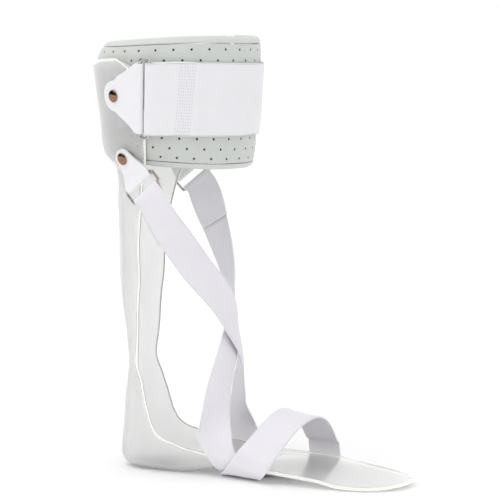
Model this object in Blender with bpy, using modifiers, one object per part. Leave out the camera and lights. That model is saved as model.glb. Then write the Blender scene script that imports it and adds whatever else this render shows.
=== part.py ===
"""Posterior-leaf ankle foot orthosis for a left foot, with a padded calf cuff and crossed elastic strap.

X runs forward to the toes, Y to the outer side of the leg and Z up. The origin is on the surface that
it stands on, under the middle of the heel. Sizes are in metres, angles in degrees.
"""
import math

import bmesh
import bpy
import numpy as np
from mathutils import Matrix, Vector

# Shell
SHELL_WALL = 0.003
SHELL_HEIGHT = 0.335        # to where the calf cup's top edge starts to rise
EDGE_RISE = 0.0022          # the top edge above that, at the back
EDGE_CREST = 0.0096         # and at its crests on both sides
EDGE_CREST_ANGLE = 60.0     # round from the back
CUP_SETBACK = 0.050         # the cup's top edge behind the origin
CUP_HALF_WIDTH = 0.0686     # at the cup's top edge, outside
CUP_DEPTH = 0.071           # from the cup's back to its widest line
HEEL_SETBACK = 0.0297       # the heel's back behind the origin
HEEL_HALF_WIDTH = 0.0325
HEEL_CUP_HEIGHT = 0.057     # where the heel cup turns into the strut
TOE_REACH = 0.223           # origin to the tip of the foot plate
BALL_HALF_WIDTH = 0.042
ARCH_LIFT = 0.0064          # underside of the plate above the floor at the arch
TOE_SPRING = 0.004
FLUTE_DEPTH = 0.0016        # the strut's two raised flutes
FLUTE_SPREAD = 0.013        # each flute's distance from the midline
FLUTE_WIDTH = 0.0045
FLUTE_TOP = 0.243
FLUTE_FOOT = 0.130

# Padded cuff
PAD_THICKNESS = 0.0065
PAD_DROP = 0.1645 * SHELL_HEIGHT  # its foot below the calf strap's middle line
PAD_HEIGHT = 0.1025         # at the front
PAD_BACK_DIP = 0.0062       # its top edge's dip towards the back
PAD_DIP_ANGLE = 140.0       # round from the back, where the dip ends
PAD_OPENING = 9.0           # the gap between its ends
PAD_OPENING_AT = 116.0      # round from the back, on the outer side
BINDING_HEIGHT = 0.0065

# Wide calf strap and its hardware
STRAP_WIDTH = 0.0575
STRAP_MIDDLE = 0.9448 * SHELL_HEIGHT  # height of its middle line at the back
STRAP_THICKNESS = 0.0016
STRAP_SEWN_LENGTH = 0.036
STRAP_FLAP_LENGTH = 0.072
STRAP_SLOPE = 0.026         # from a ring to where the strap lies on the pad
CALF_WIRE = 0.0013
CALF_RING_HEIGHT = 0.0625
CALF_RING_GAP = 0.0070      # between the middles of its two long bars
CALF_BAR_ANGLE = 83.0       # the tab's bar, round from the back
CALF_RIVET_ANGLE = 61.0
TAB_THICKNESS = 0.0012
CALF_TAB_WIDTH = 0.056
CALF_TAB_END_RADIUS = 0.0125
DISC_RADIUS = 0.0260
DISC_THICKNESS = 0.0011

# Rivets
SHANK_RADIUS = 0.0020
HEAD_RADIUS = 0.0050
HEAD_HEIGHT = 0.0022
INNER_HEAD_RADIUS = 0.0042
INNER_HEAD_HEIGHT = 0.0006

# Long elastic strap and its hardware
ELASTIC_WIDTH = 0.027
ELASTIC_THICKNESS = 0.0013
ELASTIC_SEWN_LENGTH = 0.048
STRAIGHT_AT_RING = 0.006    # before the strap starts to turn to the leg
TWIST_LENGTH = 0.040        # over which it turns from lying one way to lying another
PLATE_TWIST_LENGTH = 0.022  # the same beside the plate
RUN_FORWARD = 0.9           # how much the runs beside the ankle face forward
INSTEP_WIRE = 0.00125
INSTEP_RING_WIDTH = 0.0306
INSTEP_RING_GAP = 0.0110
INSTEP_TAB_WIDTH = 0.0262
INSTEP_TAB_LENGTH = 0.0235  # rivet to the tab's bar
INSTEP_TAB_END_RADIUS = 0.0080
INSTEP_RIVET_DROP = 0.1475 * SHELL_HEIGHT  # below the calf strap's middle line
INSTEP_RIVET_ANGLE = 69.0
INSTEP_RING_TURN = 20.0     # how far its ring turns to face forward, from the cup's face at the rivet
INSTEP_TAB_STANDOFF = 0.0011  # its lower end leans away from the cup
INSTEP_TAB_DOWN = (0.627, 0.133, -0.768)
CROSSING_REACH = 0.067      # the crossing over the shin, ahead of the origin
CROSSING_HEIGHT = 0.117
CROSSING_SPREAD = 0.040     # above and below the crossing, while the straps follow the shin
SHIN_BOW = 0.0018           # how far the straps' edges curve back round the shin
LIMB_HALF_WIDTH = 0.036     # of the leg that the crossing straps lie on
INSTEP_REACH = 0.1225       # top of the forefoot band, ahead of the origin
INSTEP_HEIGHT = 0.0515

GAP = 0.0003                # kept between touching pieces
FOLD_SPREAD = 0.010         # past a bar, where a fold's two layers have come together
SETTLE_LENGTH = 0.012       # over which a layer comes down to the surface that it lies on
CURVED_GAP = 0.0008         # between two curved pieces that lie in or on each other
EDGE_GAP = 0.0015           # between the elastic and the plate that it goes round
SOLE_CROSSING_GAP = 0.0012  # between the two runs of elastic where they cross under the plate
SHIN_CROSSING_GAP = 0.0028  # and where they cross over the shin

# Leg sections, top to bottom: height, back, half width at the edge and depth as shares of the shell's
# height, the cup's setback, half width and depth; edge as a share of the row's own depth; tilt in degrees.
LEG_COLUMNS = ("height", "back", "half_width", "depth", "edge", "tilt")
LEG_ROWS = (
    (1.000, 1.000, 0.887, 1.000, 0.530, -1.0),   # top edge of the cup
    (0.985, 0.986, 0.952, 0.993, 0.691, -1.3),
    (0.955, 0.959, 0.973, 0.979, 0.852, -1.9),
    (0.896, 0.906, 0.948, 0.951, 0.874, -3.0),
    (0.803, 0.836, 0.882, 0.873, 0.884, -5.5),   # foot of the cup
    (0.758, 0.630, 0.729, 0.732, 0.740, -6.0),   # head of the strut
    (0.693, 0.596, 0.620, 0.690, 0.640, -4.0),
    (0.588, 0.584, 0.517, 0.592, 0.610, 0.0),
    (0.457, 0.584, 0.459, 0.479, 0.710, 0.0),
    (0.334, 0.490, 0.408, 0.352, 0.660, 0.0),
    (0.275, 0.464, 0.372, 0.303, 0.614, 0.0),    # neck above the heel
    (0.218, 0.504, 0.413, 0.359, 0.840, 0.0),
    (0.170, 0.544, 0.452, 0.451, 0.866, 0.0),
)

# Heel sections: back and height as shares of the heel's setback and cup height; tilt in degrees; half
# width as a share of the heel's; flat as a share of the half width; depth as a share of the cup height.
HEEL_COLUMNS = ("back", "height", "tilt", "half_width", "flat", "depth", "edge")
HEEL_ROWS = (
    (0.953, 0.700, 11.7, 0.970, 0.00, 0.615, 0.930),
    (0.987, 0.386, 28.6, 0.985, 0.10, 0.750, 0.930),
    (1.000, 0.219, 34.2, 1.000, 0.15, 0.855, 0.920),
    (0.880, 0.088, 39.7, 1.000, 0.20, 0.894, 0.910),
    (0.620, 0.019, 44.9, 1.000, 0.27, 0.853, 0.900),
    (0.270, 0.000, 50.7, 1.000, 0.35, 0.756, 0.890),
)

# Sole sections: along as a share of the toe's reach; lift as a share of the arch's lift, or of the toe
# spring from the ball on; inner and outer half width as shares of the ball's; depth of the heel cup's height.
SOLE_COLUMNS = ("along", "lift", "tilt", "inner", "outer", "flat", "depth", "edge")
SOLE_ROWS = (
    (0.036, 0.00, 64.6, 0.774, 0.774, 0.45, 0.621, 0.870),
    (0.112, 0.00, 79.6, 0.774, 0.774, 0.50, 0.565, 0.790),
    (0.200, 0.48, 90.0, 0.762, 0.762, 0.55, 0.475, 0.660),
    (0.270, 0.92, 90.0, 0.762, 0.786, 0.62, 0.415, 0.520),
    (0.360, 1.00, 90.0, 0.786, 0.840, 0.72, 0.430, 0.330),
    (0.450, 1.00, 90.0, 0.857, 0.905, 0.80, 0.390, 0.190),
    (0.560, 0.90, 90.0, 0.940, 0.976, 0.85, 0.357, 0.130),
    (0.670, 0.62, 90.0, 0.976, 1.010, 0.87, 0.357, 0.090),
    (0.740, 0.16, 90.0, 0.976, 1.000, 0.88, 0.357, 0.075),
    (0.830, 0.00, 90.0, 0.930, 0.857, 0.88, 0.357, 0.070),
    (0.900, 0.22, 90.0, 0.815, 0.590, 0.88, 0.250, 0.060),
    (0.950, 0.55, 90.0, 0.650, 0.290, 0.85, 0.120, 0.060),
    (0.983, 0.82, 90.0, 0.455, 0.045, 0.80, 0.050, 0.060),
    (1.000, 1.00, 90.0, 0.260, -0.120, 0.70, 0.010, 0.060),
)
BALL_START = 0.80           # share of the toe's reach past which the lift is the toe spring's

# How far the cuff's outer face leans in: rise as a share of the pad's height, inset at the back and the
# front as shares of its thickness.
LEAN_COLUMNS = ("rise", "back", "front")
LEAN_ROWS = (
    (0.00, 0.42, 0.30),
    (0.07, 0.30, 0.15),
    (0.20, 0.00, 0.00),
    (0.76, 0.00, 0.00),
    (0.86, 0.23, 0.08),
    (0.94, 0.92, 0.20),
    (1.00, 1.77, 0.50),
)

# From a ring, over the shin and down the other side: along and side as shares of the crossing's reach and
# the limb's half width; rise as a share of the way up from the crossing to the ring, or of the way down
# from it to the floor.
SHIN_COLUMNS = ("along", "side", "rise")
SHIN_ROWS = (
    (0.430, 1.56, 0.789),   # beside the calf
    (0.68, 1.16, 0.526),
    (0.92, 0.54, 0.258),
    (1.00, 0.00, 0.000),    # the crossing
    (1.00, -0.36, -0.160),
    (0.96, -0.68, -0.335),
    (0.93, -0.89, -0.540),  # beside the ankle
)

# Forefoot band from the inner edge of the plate to the outer one: along, side and height as shares of the
# instep's reach, the ball's half width and the instep's height.
FOREFOOT_COLUMNS = ("along", "side", "height")
FOREFOOT_ROWS = (
    (0.870, -0.78, 0.66),
    (0.950, -0.45, 0.92),
    (1.000, -0.08, 1.00),
    (1.040, 0.28, 0.95),
    (1.072, 0.63, 0.74),
    (1.095, 0.90, 0.45),
)
# Where the elastic strap turns round the plate's edge: reach as a share of the toe's, and how far it
# heads back for each length that it rises.
PLATE_TURNS = {
    "inner_run": (0.318, 0.60),
    "inner_band": (0.404, -0.60),
    "outer_run": (0.298, 0.20),
    "outer_band": (0.610, 0.11),
}
# Rows of a turn round the plate's edge: their distances up from the edge.
TURN_RUNS = (0.014, 0.007, 0.003, 0.001, -0.002, -0.0055, -0.010, -0.016)

# The middle of the limb that the straps go round, in shares of the crossing's reach and height.
LIMB_AXIS = ((0.36, 2.60), (0.33, 0.95), (0.66, 0.42), (2.60, 0.15))

# Colour, roughness and metallic value of each finish.
FINISHES = {
    "milky_plastic": ((0.80, 0.81, 0.80), 0.35, 0.0),
    "sage_padding": ((0.60, 0.64, 0.60), 0.85, 0.0),
    "sage_binding": ((0.64, 0.68, 0.64), 0.80, 0.0),
    "white_strap": ((0.80, 0.80, 0.83), 0.75, 0.0),
    "white_elastic": ((0.78, 0.77, 0.81), 0.80, 0.0),
    "white_vinyl": ((0.80, 0.80, 0.82), 0.45, 0.0),
    "white_hook": ((0.76, 0.77, 0.78), 0.60, 0.0),
    "ring_steel": ((0.45, 0.43, 0.42), 0.25, 1.0),
    "rivet_bronze": ((0.25, 0.14, 0.09), 0.30, 1.0),
}

SIDES = {"medial": -1.0, "lateral": 1.0}
LEG_STEPS = 2               # sections made between two rows of a table, down to the heel
SOLE_STEPS = 1              # and from there on
SHELL_COLUMNS_ACROSS = 14
ELASTIC_COLUMNS = (-1, -0.5, 0, 0.5, 1)
SURFACE_STEP = 1e-5         # for slopes measured on the formed surface
LEAN_LENGTH = 0.008         # the cup's last stretch, whose lean carries on above it
CROWN_ROWS = 3              # leg rows down to where the cup's risen top edge has no part


def clear_scene():
    for item in list(bpy.data.objects):
        bpy.data.objects.remove(item, do_unlink=True)


def finish(name):
    colour, roughness, metallic = FINISHES[name]
    material = bpy.data.materials.get(name) or bpy.data.materials.new(name)
    material.use_nodes = True
    shader = material.node_tree.nodes["Principled BSDF"]
    shader.inputs["Base Color"].default_value = (*colour, 1.0)
    shader.inputs["Roughness"].default_value = roughness
    shader.inputs["Metallic"].default_value = metallic
    return material


def smooth_table(spots, values, wanted):
    """A monotone cubic through each column of values, read at the wanted spots."""
    spots, values = np.asarray(spots, float), np.asarray(values, float)
    steps = np.diff(spots)
    slopes = np.diff(values, axis=0) / steps[:, None]
    tangents = np.zeros_like(values)
    tangents[0], tangents[-1] = slopes[0], slopes[-1]
    for i in range(1, len(spots) - 1):
        before, after = slopes[i - 1], slopes[i]
        same_way = before * after > 0
        first, second = 2 * steps[i] + steps[i - 1], steps[i] + 2 * steps[i - 1]
        blend = first / np.where(same_way, before, 1.0) + second / np.where(same_way, after, 1.0)
        tangents[i] = np.where(same_way, (first + second) / blend, 0.0)
    wanted = np.clip(np.atleast_1d(wanted), spots[0], spots[-1])
    i = np.clip(np.searchsorted(spots, wanted, side="right") - 1, 0, len(steps) - 1)
    t = ((wanted - spots[i]) / steps[i])[:, None]
    width = steps[i][:, None]
    return ((1 + 2 * t) * (1 - t) ** 2 * values[i] + t * (1 - t) ** 2 * width * tangents[i]
            + t * t * (3 - 2 * t) * values[i + 1] + t * t * (t - 1) * width * tangents[i + 1])


def smooth_route(points, spacing):
    """A smooth curve through 3D points, read about every spacing."""
    points = [Vector(p) for p in points]
    ends = [points[0] * 2 - points[1], *points, points[-1] * 2 - points[-2]]
    route = []
    for i in range(1, len(ends) - 2):
        a, b, c, d = ends[i - 1:i + 3]
        count = max(1, round((c - b).length / spacing))
        for k in range(count):
            t = k / count
            route.append(0.5 * (2 * b + (c - a) * t + (2 * a - 5 * b + 4 * c - d) * t * t
                                + (3 * b - a - 3 * c + d) * t ** 3))
    return route + [points[-1]]


def ease(share):
    share = min(1.0, max(0.0, share))
    return share * share * (3 - 2 * share)


def rows_as_dicts(columns, rows):
    return [dict(zip(columns, row)) for row in rows]


# Shell sections. Each holds its place on the midline, its tilt, its half width at the edge, its offset
# to the outer side, the half width of its flat middle, its depth and the share of that depth at its edge.
SECTION = ("x", "z", "tilt", "half_width", "aside", "flat", "depth", "edge")


def leg_sections():
    sections = []
    for row in rows_as_dicts(LEG_COLUMNS, LEG_ROWS):
        sections.append((-row["back"] * CUP_SETBACK, row["height"] * SHELL_HEIGHT, row["tilt"],
                         row["half_width"] * CUP_HALF_WIDTH, 0.0, 0.0, row["depth"] * CUP_DEPTH, row["edge"]))
    return sections


def heel_sections():
    sections = []
    for row in rows_as_dicts(HEEL_COLUMNS, HEEL_ROWS):
        half_width = row["half_width"] * HEEL_HALF_WIDTH
        sections.append((-row["back"] * HEEL_SETBACK, row["height"] * HEEL_CUP_HEIGHT, row["tilt"],
                         half_width, 0.0, row["flat"] * half_width, row["depth"] * HEEL_CUP_HEIGHT,
                         row["edge"]))
    return sections


def sole_sections():
    sections = []
    for row in rows_as_dicts(SOLE_COLUMNS, SOLE_ROWS):
        inner, outer = row["inner"] * BALL_HALF_WIDTH, row["outer"] * BALL_HALF_WIDTH
        lift = row["lift"] * (TOE_SPRING if row["along"] > BALL_START else ARCH_LIFT)
        half_width = (inner + outer) / 2
        sections.append((row["along"] * TOE_REACH, lift, row["tilt"], half_width, (outer - inner) / 2,
                         row["flat"] * half_width, row["depth"] * HEEL_CUP_HEIGHT, row["edge"]))
    return sections


SECTIONS = np.array(leg_sections() + heel_sections() + sole_sections())
SECTION_SPOTS = np.concatenate(([0.0], np.cumsum(np.hypot(*np.diff(SECTIONS[:, :2], axis=0).T))))
LEG_COUNT = len(LEG_ROWS)


def section_at(spot):
    return dict(zip(SECTION, smooth_table(SECTION_SPOTS, SECTIONS, spot)[0]))


def spot_at_height(height):
    """How far along the midline the leg's part of the shell reaches this height."""
    heights = SECTIONS[:LEG_COUNT, 1]
    return float(np.interp(-height, -heights, SECTION_SPOTS[:LEG_COUNT]))


def spot_at_reach(reach):
    first = LEG_COUNT + len(HEEL_ROWS)
    return float(np.interp(reach, SECTIONS[first:, 0], SECTION_SPOTS[first:]))


def section_point(section, angle):
    """Point on the outer face, angle in degrees round from the midline of the section."""
    edge_angle = math.acos(1 - section["edge"])
    corner = (section["half_width"] - section["flat"]) / math.sin(edge_angle)
    turn = math.radians(abs(angle))
    across = math.copysign(section["flat"] + corner * math.sin(turn), angle) if angle else 0.0
    deep = section["depth"] * (1 - math.cos(turn))
    tilt = math.radians(section["tilt"])
    return Vector((section["x"] + deep * math.cos(tilt), section["aside"] + across,
                   section["z"] + deep * math.sin(tilt)))


def flute_rise(height, across):
    along = (height - FLUTE_FOOT) / (FLUTE_TOP - FLUTE_FOOT)
    if not 0 < along < 1:
        return 0.0
    near = math.exp(-((abs(across) - FLUTE_SPREAD * (0.35 + 0.65 * along)) / FLUTE_WIDTH) ** 2)
    return FLUTE_DEPTH * near * ease(along * 3) * ease((1 - along) * 6)


def edge_rise(angle):
    """How far the cup's top edge stands above the top section at this angle."""
    return EDGE_RISE + (EDGE_CREST - EDGE_RISE) * ease(abs(angle) / EDGE_CREST_ANGLE)


def shell_grid():
    crown, crown_foot = SECTIONS[0][1], SECTIONS[CROWN_ROWS][1]
    grid = []
    for i, (first, last) in enumerate(zip(SECTION_SPOTS[:-1], SECTION_SPOTS[1:])):
        steps = LEG_STEPS if i < LEG_COUNT + len(HEEL_ROWS) else SOLE_STEPS
        for k in range(steps):
            grid.append(first + (last - first) * k / steps)
    rows = []
    for spot in grid + [SECTION_SPOTS[-1]]:
        section = section_at(spot)
        edge_angle = math.acos(1 - section["edge"])
        corner = (section["half_width"] - section["flat"]) / math.sin(edge_angle)
        arc = edge_angle * (corner + section["depth"] * section["edge"] / edge_angle) / 2
        row = []
        for k in range(SHELL_COLUMNS_ACROSS + 1):
            share = 2 * k / SHELL_COLUMNS_ACROSS - 1
            run = abs(share) * (section["flat"] + arc)
            side = math.copysign(1, share)
            if run <= section["flat"]:
                point = Vector((section["x"], section["aside"] + side * run, section["z"]))
            else:
                turn = math.degrees((run - section["flat"]) / arc * edge_angle)
                point = section_point(section, side * max(turn, 1e-4))
                if spot < SECTION_SPOTS[CROWN_ROWS]:
                    raised = ease((section["z"] - crown_foot) / (crown - crown_foot))
                    point = formed_point(section["z"] + edge_rise(turn) * raised, side * max(turn, 1e-4))
            point.x -= flute_rise(point.z, point.y)
            row.append(point)
        rows.append(row)
    return rows


def formed_point(height, angle, offset=0.0):
    """Point at this offset outside the shell's outer face, carried on round the leg and above the cup."""
    top = SHELL_HEIGHT - 2 * SURFACE_STEP
    held = min(height, top)
    point = section_point(section_at(spot_at_height(held)), angle)
    if height > top:
        below = section_point(section_at(spot_at_height(top - LEAN_LENGTH)), angle)
        point += (point - below) * ((height - top) / LEAN_LENGTH)
    return point + formed_normal(held, angle) * offset if offset else point


def formed_normal(height, angle):
    spot = max(spot_at_height(height), SURFACE_STEP)
    upward = (section_point(section_at(spot - SURFACE_STEP), angle)
              - section_point(section_at(spot + SURFACE_STEP), angle))
    section = section_at(spot)
    around = section_point(section, angle + 0.05) - section_point(section, angle - 0.05)
    return upward.cross(around).normalized()


def climb(angle):
    """Formed height gained, and arc lost, for each length straight up the surface from the middle line."""
    if angle not in CLIMBS:
        here = formed_point(STRAP_MIDDLE, angle)
        upward = (formed_point(STRAP_MIDDLE + SURFACE_STEP, angle) - here) / SURFACE_STEP
        around = (formed_point(STRAP_MIDDLE, angle_at(arc_at(angle) + SURFACE_STEP)) - here).normalized()
        shear = upward.dot(around)
        rate = (upward - around * shear).length
        CLIMBS[angle] = (1 / rate, shear / rate)
    return CLIMBS[angle]


def formed_spot(angle, up):
    """Formed height and angle of the spot this far straight up the surface from the calf strap's middle line."""
    gained, lost = climb(angle)
    return STRAP_MIDDLE + up * gained, angle_at(arc_at(angle) - up * lost)


def arc_angles(height):
    """Angles round the formed surface at one height, with the arc length that each has from the back."""
    angles = np.arange(0.0, 181.0, 1.0)
    section = section_at(spot_at_height(height))
    points = [section_point(section, angle) for angle in angles]
    lengths = [0.0]
    for before, after in zip(points, points[1:]):
        lengths.append(lengths[-1] + (after - before).length)
    return angles, np.array(lengths)


CUFF_ANGLES, CUFF_ARCS = arc_angles(STRAP_MIDDLE)
CLIMBS = {}


def angle_at(arc):
    return math.copysign(float(np.interp(abs(arc), CUFF_ARCS, CUFF_ANGLES)), arc)


def arc_at(angle):
    return math.copysign(float(np.interp(abs(angle), CUFF_ANGLES, CUFF_ARCS)), angle)


def add_object(name, mesh, finish_name, collection):
    item = bpy.data.objects.new(name, mesh)
    mesh.materials.append(finish(finish_name))
    collection.objects.link(item)
    return item


def add_sheet(name, grid, thickness, side, finish_name, collection):
    """A grid of points as an open surface, with a wall given to it by Solidify."""
    mesh = bpy.data.meshes.new(name)
    wide = len(grid[0])
    verts = [tuple(point) for row in grid for point in row]
    faces = []
    for i in range(len(grid) - 1):
        for j in range(wide - 1):
            corner = i * wide + j
            faces.append((corner, corner + 1, corner + wide + 1, corner + wide))
    mesh.from_pydata(verts, [], faces)
    item = add_object(name, mesh, finish_name, collection)
    wall = item.modifiers.new("Wall", "SOLIDIFY")
    wall.thickness = thickness
    wall.offset = side
    wall.use_even_offset = True
    wall.use_quality_normals = True
    mesh.shade_smooth()
    return item


def add_hole(item, centre, direction, radius, cutters):
    """A round hole cut through the piece, by a cylinder kept with the cutters."""
    mesh = bpy.data.meshes.new(f"{item.name}_hole")
    shape = bmesh.new()
    bmesh.ops.create_cone(shape, cap_ends=True, segments=12, radius1=radius, radius2=radius,
                          depth=8 * SHELL_WALL)
    shape.to_mesh(mesh)
    shape.free()
    cutter = bpy.data.objects.new(f"{item.name}_hole", mesh)
    cutter.matrix_world = Matrix.Translation(centre) @ direction.to_track_quat("Z", "Y").to_matrix().to_4x4()
    cutter.hide_render = True
    cutter.display_type = "WIRE"
    cutters.objects.link(cutter)
    cut = item.modifiers.new("Hole", "BOOLEAN")
    cut.operation = "DIFFERENCE"
    cut.object = cutter


def add_rivet(name, centre, direction, inner_face, outer_face, collection):
    """A turned rivet: flat inner head, shank and domed outer head, faces measured along direction."""
    profile = [(0.0, inner_face - INNER_HEAD_HEIGHT), (INNER_HEAD_RADIUS, inner_face - INNER_HEAD_HEIGHT),
               (INNER_HEAD_RADIUS, inner_face), (SHANK_RADIUS, inner_face), (SHANK_RADIUS, outer_face),
               (HEAD_RADIUS, outer_face)]
    for turn in (30, 62):
        angle = math.radians(turn)
        profile.append((HEAD_RADIUS * math.cos(angle), outer_face + HEAD_HEIGHT * math.sin(angle)))
    profile.append((0.0, outer_face + HEAD_HEIGHT))
    mesh = bpy.data.meshes.new(name)
    edges = [(i, i + 1) for i in range(len(profile) - 1)]
    mesh.from_pydata([(x, 0.0, z) for x, z in reversed(profile)], edges, [])
    item = add_object(name, mesh, "rivet_bronze", collection)
    turned = item.modifiers.new("Turned", "SCREW")
    turned.axis = "Z"
    turned.steps = turned.render_steps = 10
    turned.use_merge_vertices = True
    turned.merge_threshold = 1e-5
    item.matrix_world = Matrix.Translation(centre) @ direction.to_track_quat("Z", "Y").to_matrix().to_4x4()
    return item


def add_ring(name, points, wire, collection):
    curve = bpy.data.curves.new(name, "CURVE")
    curve.dimensions = "3D"
    curve.bevel_depth = wire
    curve.bevel_resolution = 2
    spline = curve.splines.new("POLY")
    spline.points.add(len(points) - 1)
    for spot, point in zip(spline.points, points):
        spot.co = (*point, 1.0)
    spline.use_cyclic_u = True
    return add_object(name, curve, "ring_steel", collection)


def ring_loop(length, gap, held_width, corner_steps=2):
    """A loop with round corners past the strap's width, as pairs: along its bars, and across them."""
    radius = (length - held_width - GAP) / 2
    loop = []
    for turn, along, across in ((0, 1, 1), (90, -1, 1), (180, -1, -1), (270, 1, -1)):
        for k in range(corner_steps + 1):
            angle = math.radians(turn + 90 * k / corner_steps)
            loop.append((along * (length / 2 - radius) + radius * math.cos(angle),
                         across * (gap / 2 - radius) + radius * math.sin(angle)))
    return loop


def folded_path(reach, bar_radius, layer, spread, steps):
    """A strip folded round a bar at the origin, as pairs: along it and out from its middle plane.

    It runs from reach on the under side to the bar, round it, and back to reach on the upper side.
    The layers lie layer from the middle plane, and spread to the bar over the length spread.
    """
    upper = []
    for k in range(steps + 1):
        along = reach * (1 - k / steps) ** 1.5
        open_share = max(0.0, 1 - along / spread) ** 2
        upper.append((along, layer + (bar_radius - layer) * open_share))
    around = [(-bar_radius * math.sin(math.radians(a)), bar_radius * math.cos(math.radians(a)))
              for a in (30, 60, 90, 120, 150)]
    return [(x, -y) for x, y in upper] + [(x, -y) for x, y in around] + upper[::-1]


def build_shell(collection, cutters):
    shell = add_sheet("shell", shell_grid(), SHELL_WALL, -1.0, "milky_plastic", collection)
    for side in SIDES.values():
        add_hole(shell, formed_point(STRAP_MIDDLE, side * CALF_RIVET_ANGLE),
                 formed_normal(STRAP_MIDDLE, side * CALF_RIVET_ANGLE), SHANK_RADIUS + GAP, cutters)
        centre, outward, _, _ = instep_frame(side)
        add_hole(shell, centre, outward, SHANK_RADIUS + GAP, cutters)


def lean_in(rise, angle):
    row = dict(zip(LEAN_COLUMNS, smooth_table([r[0] for r in LEAN_ROWS], LEAN_ROWS, rise)[0]))
    front = (1 - math.cos(math.radians(angle))) / 2
    return PAD_THICKNESS * (row["back"] * (1 - front) + row["front"] * front)


def disc_dent(angle, up):
    """How far a hook disc and its rivet's inner head press into the pad."""
    across = arc_at(angle) - math.copysign(arc_at(CALF_RIVET_ANGLE), angle)
    away = math.hypot(across, up)
    stack = DISC_THICKNESS + INNER_HEAD_HEIGHT + CURVED_GAP
    return stack * ease((DISC_RADIUS * 1.5 - away) / (DISC_RADIUS * 0.42))


def rivet_dent(angle, up):
    """How far an instep rivet's inner head presses into the pad."""
    across = arc_at(angle) - math.copysign(arc_at(INSTEP_RIVET_ANGLE), angle)
    away = math.hypot(across, up + INSTEP_RIVET_DROP)
    return (2 * INSTEP_TAB_STANDOFF + INNER_HEAD_HEIGHT) * ease(3.5 - away / INNER_HEAD_RADIUS)


def cuff_point(up, angle, deep):
    """Point in the cuff's wall, this far up from the strap's middle line and this deep from its outer face."""
    rise = (up + PAD_DROP) / PAD_HEIGHT
    up -= rise * PAD_BACK_DIP * (1 - ease(abs(angle) / PAD_DIP_ANGLE))
    pressed_in = max(lean_in(rise, angle), rivet_dent(angle, up)) + disc_dent(angle, up)
    inward = SHELL_WALL + CURVED_GAP + pressed_in + deep
    height, angle = formed_spot(angle, up)
    level = formed_normal(min(height, SHELL_HEIGHT), angle)
    level.z = 0.0
    return formed_point(height, angle) - level.normalized() * inward


def add_cuff_piece(name, outline, steps, finish_name, collection):
    """A closed outline, up and deep, lofted round the leg from one side of the gap to the other."""
    first, last = PAD_OPENING_AT + PAD_OPENING / 2 - 360, PAD_OPENING_AT - PAD_OPENING / 2
    verts = []
    faces = []
    count = len(outline)
    for k in range(steps + 1):
        angle = first + (last - first) * k / steps
        angle = angle if angle >= -180 else angle + 360
        verts += [tuple(cuff_point(up, angle, deep)) for up, deep in outline]
    for k in range(steps):
        for j in range(count):
            here, beside = k * count + j, k * count + (j + 1) % count
            faces.append((here, beside, beside + count, here + count))
    faces += [tuple(range(count))[::-1], tuple(range(steps * count, (steps + 1) * count))]
    mesh = bpy.data.meshes.new(name)
    mesh.from_pydata(verts, [], faces)
    shape = bmesh.new()
    shape.from_mesh(mesh)
    bmesh.ops.recalc_face_normals(shape, faces=shape.faces)
    shape.to_mesh(mesh)
    shape.free()
    mesh.shade_smooth()
    mesh.set_sharp_from_angle(angle=math.radians(50))
    return add_object(name, mesh, finish_name, collection)


def build_cuff(collection):
    foot, top, deep = -PAD_DROP, PAD_HEIGHT - PAD_DROP, PAD_THICKNESS
    low, high = foot + BINDING_HEIGHT + GAP, top - BINDING_HEIGHT - GAP
    outer = [(low + (high - low) * k / 7, 0.0) for k in range(8)]
    inner = [(low + (high - low) * k / 5, deep) for k in range(6)][::-1]
    add_cuff_piece("cuff_pad", outer + inner, 44, "sage_padding", collection)
    curve = BINDING_HEIGHT * 0.35
    ends = (("cuff_binding_top", top, high + GAP), ("cuff_binding_bottom", foot, low - GAP))
    for name, edge, seam in ends:
        bend = math.copysign(curve, edge - seam)
        outline = [(seam, 0.0), (edge - bend, 0.0), (edge, curve), (edge, deep - curve), (edge - bend, deep),
                   (seam, deep)]
        add_cuff_piece(name, outline, 40, "sage_binding", collection)


def build_discs(collection):
    inner, rings = SHANK_RADIUS + GAP, 2
    for side_name, side in SIDES.items():
        grid = []
        for k in range(rings + 1):
            radius = inner + (DISC_RADIUS - inner) * k / rings
            row = []
            for turn in range(0, 361, 20):
                angle = math.radians(turn)
                arc = side * (arc_at(CALF_RIVET_ANGLE) + radius * math.cos(angle))
                spot = formed_spot(angle_at(arc), radius * math.sin(angle))
                row.append(formed_point(*spot, -SHELL_WALL - CURVED_GAP))
            grid.append(row)
        disc = add_sheet(f"hook_disc_{side_name}", grid, DISC_THICKNESS, -side, "white_hook", collection)
        weld(disc)


def weld(item):
    shape = bmesh.new()
    shape.from_mesh(item.data)
    bmesh.ops.remove_doubles(shape, verts=shape.verts, dist=1e-6)
    shape.to_mesh(item.data)
    shape.free()


def tab_half_width(along, length, width, end_radius):
    """Half width of a tab: round behind its rivet, then flaring in straight lines to its bar."""
    half = width / 2
    if along < 0:
        return math.sqrt(max(0.0, end_radius ** 2 - along ** 2))
    flare_end = length * 0.86
    return end_radius + (half - end_radius) * min(1.0, along / flare_end)


def upright_row(angle, out, half, straight):
    """Three points up the formed surface, drawn towards a straight line by the share straight."""
    low, middle, high = [formed_point(*formed_spot(angle, half * share), out) for share in (-1, 0, 1)]
    return [low, middle.lerp((low + high) / 2, straight), high]


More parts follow.
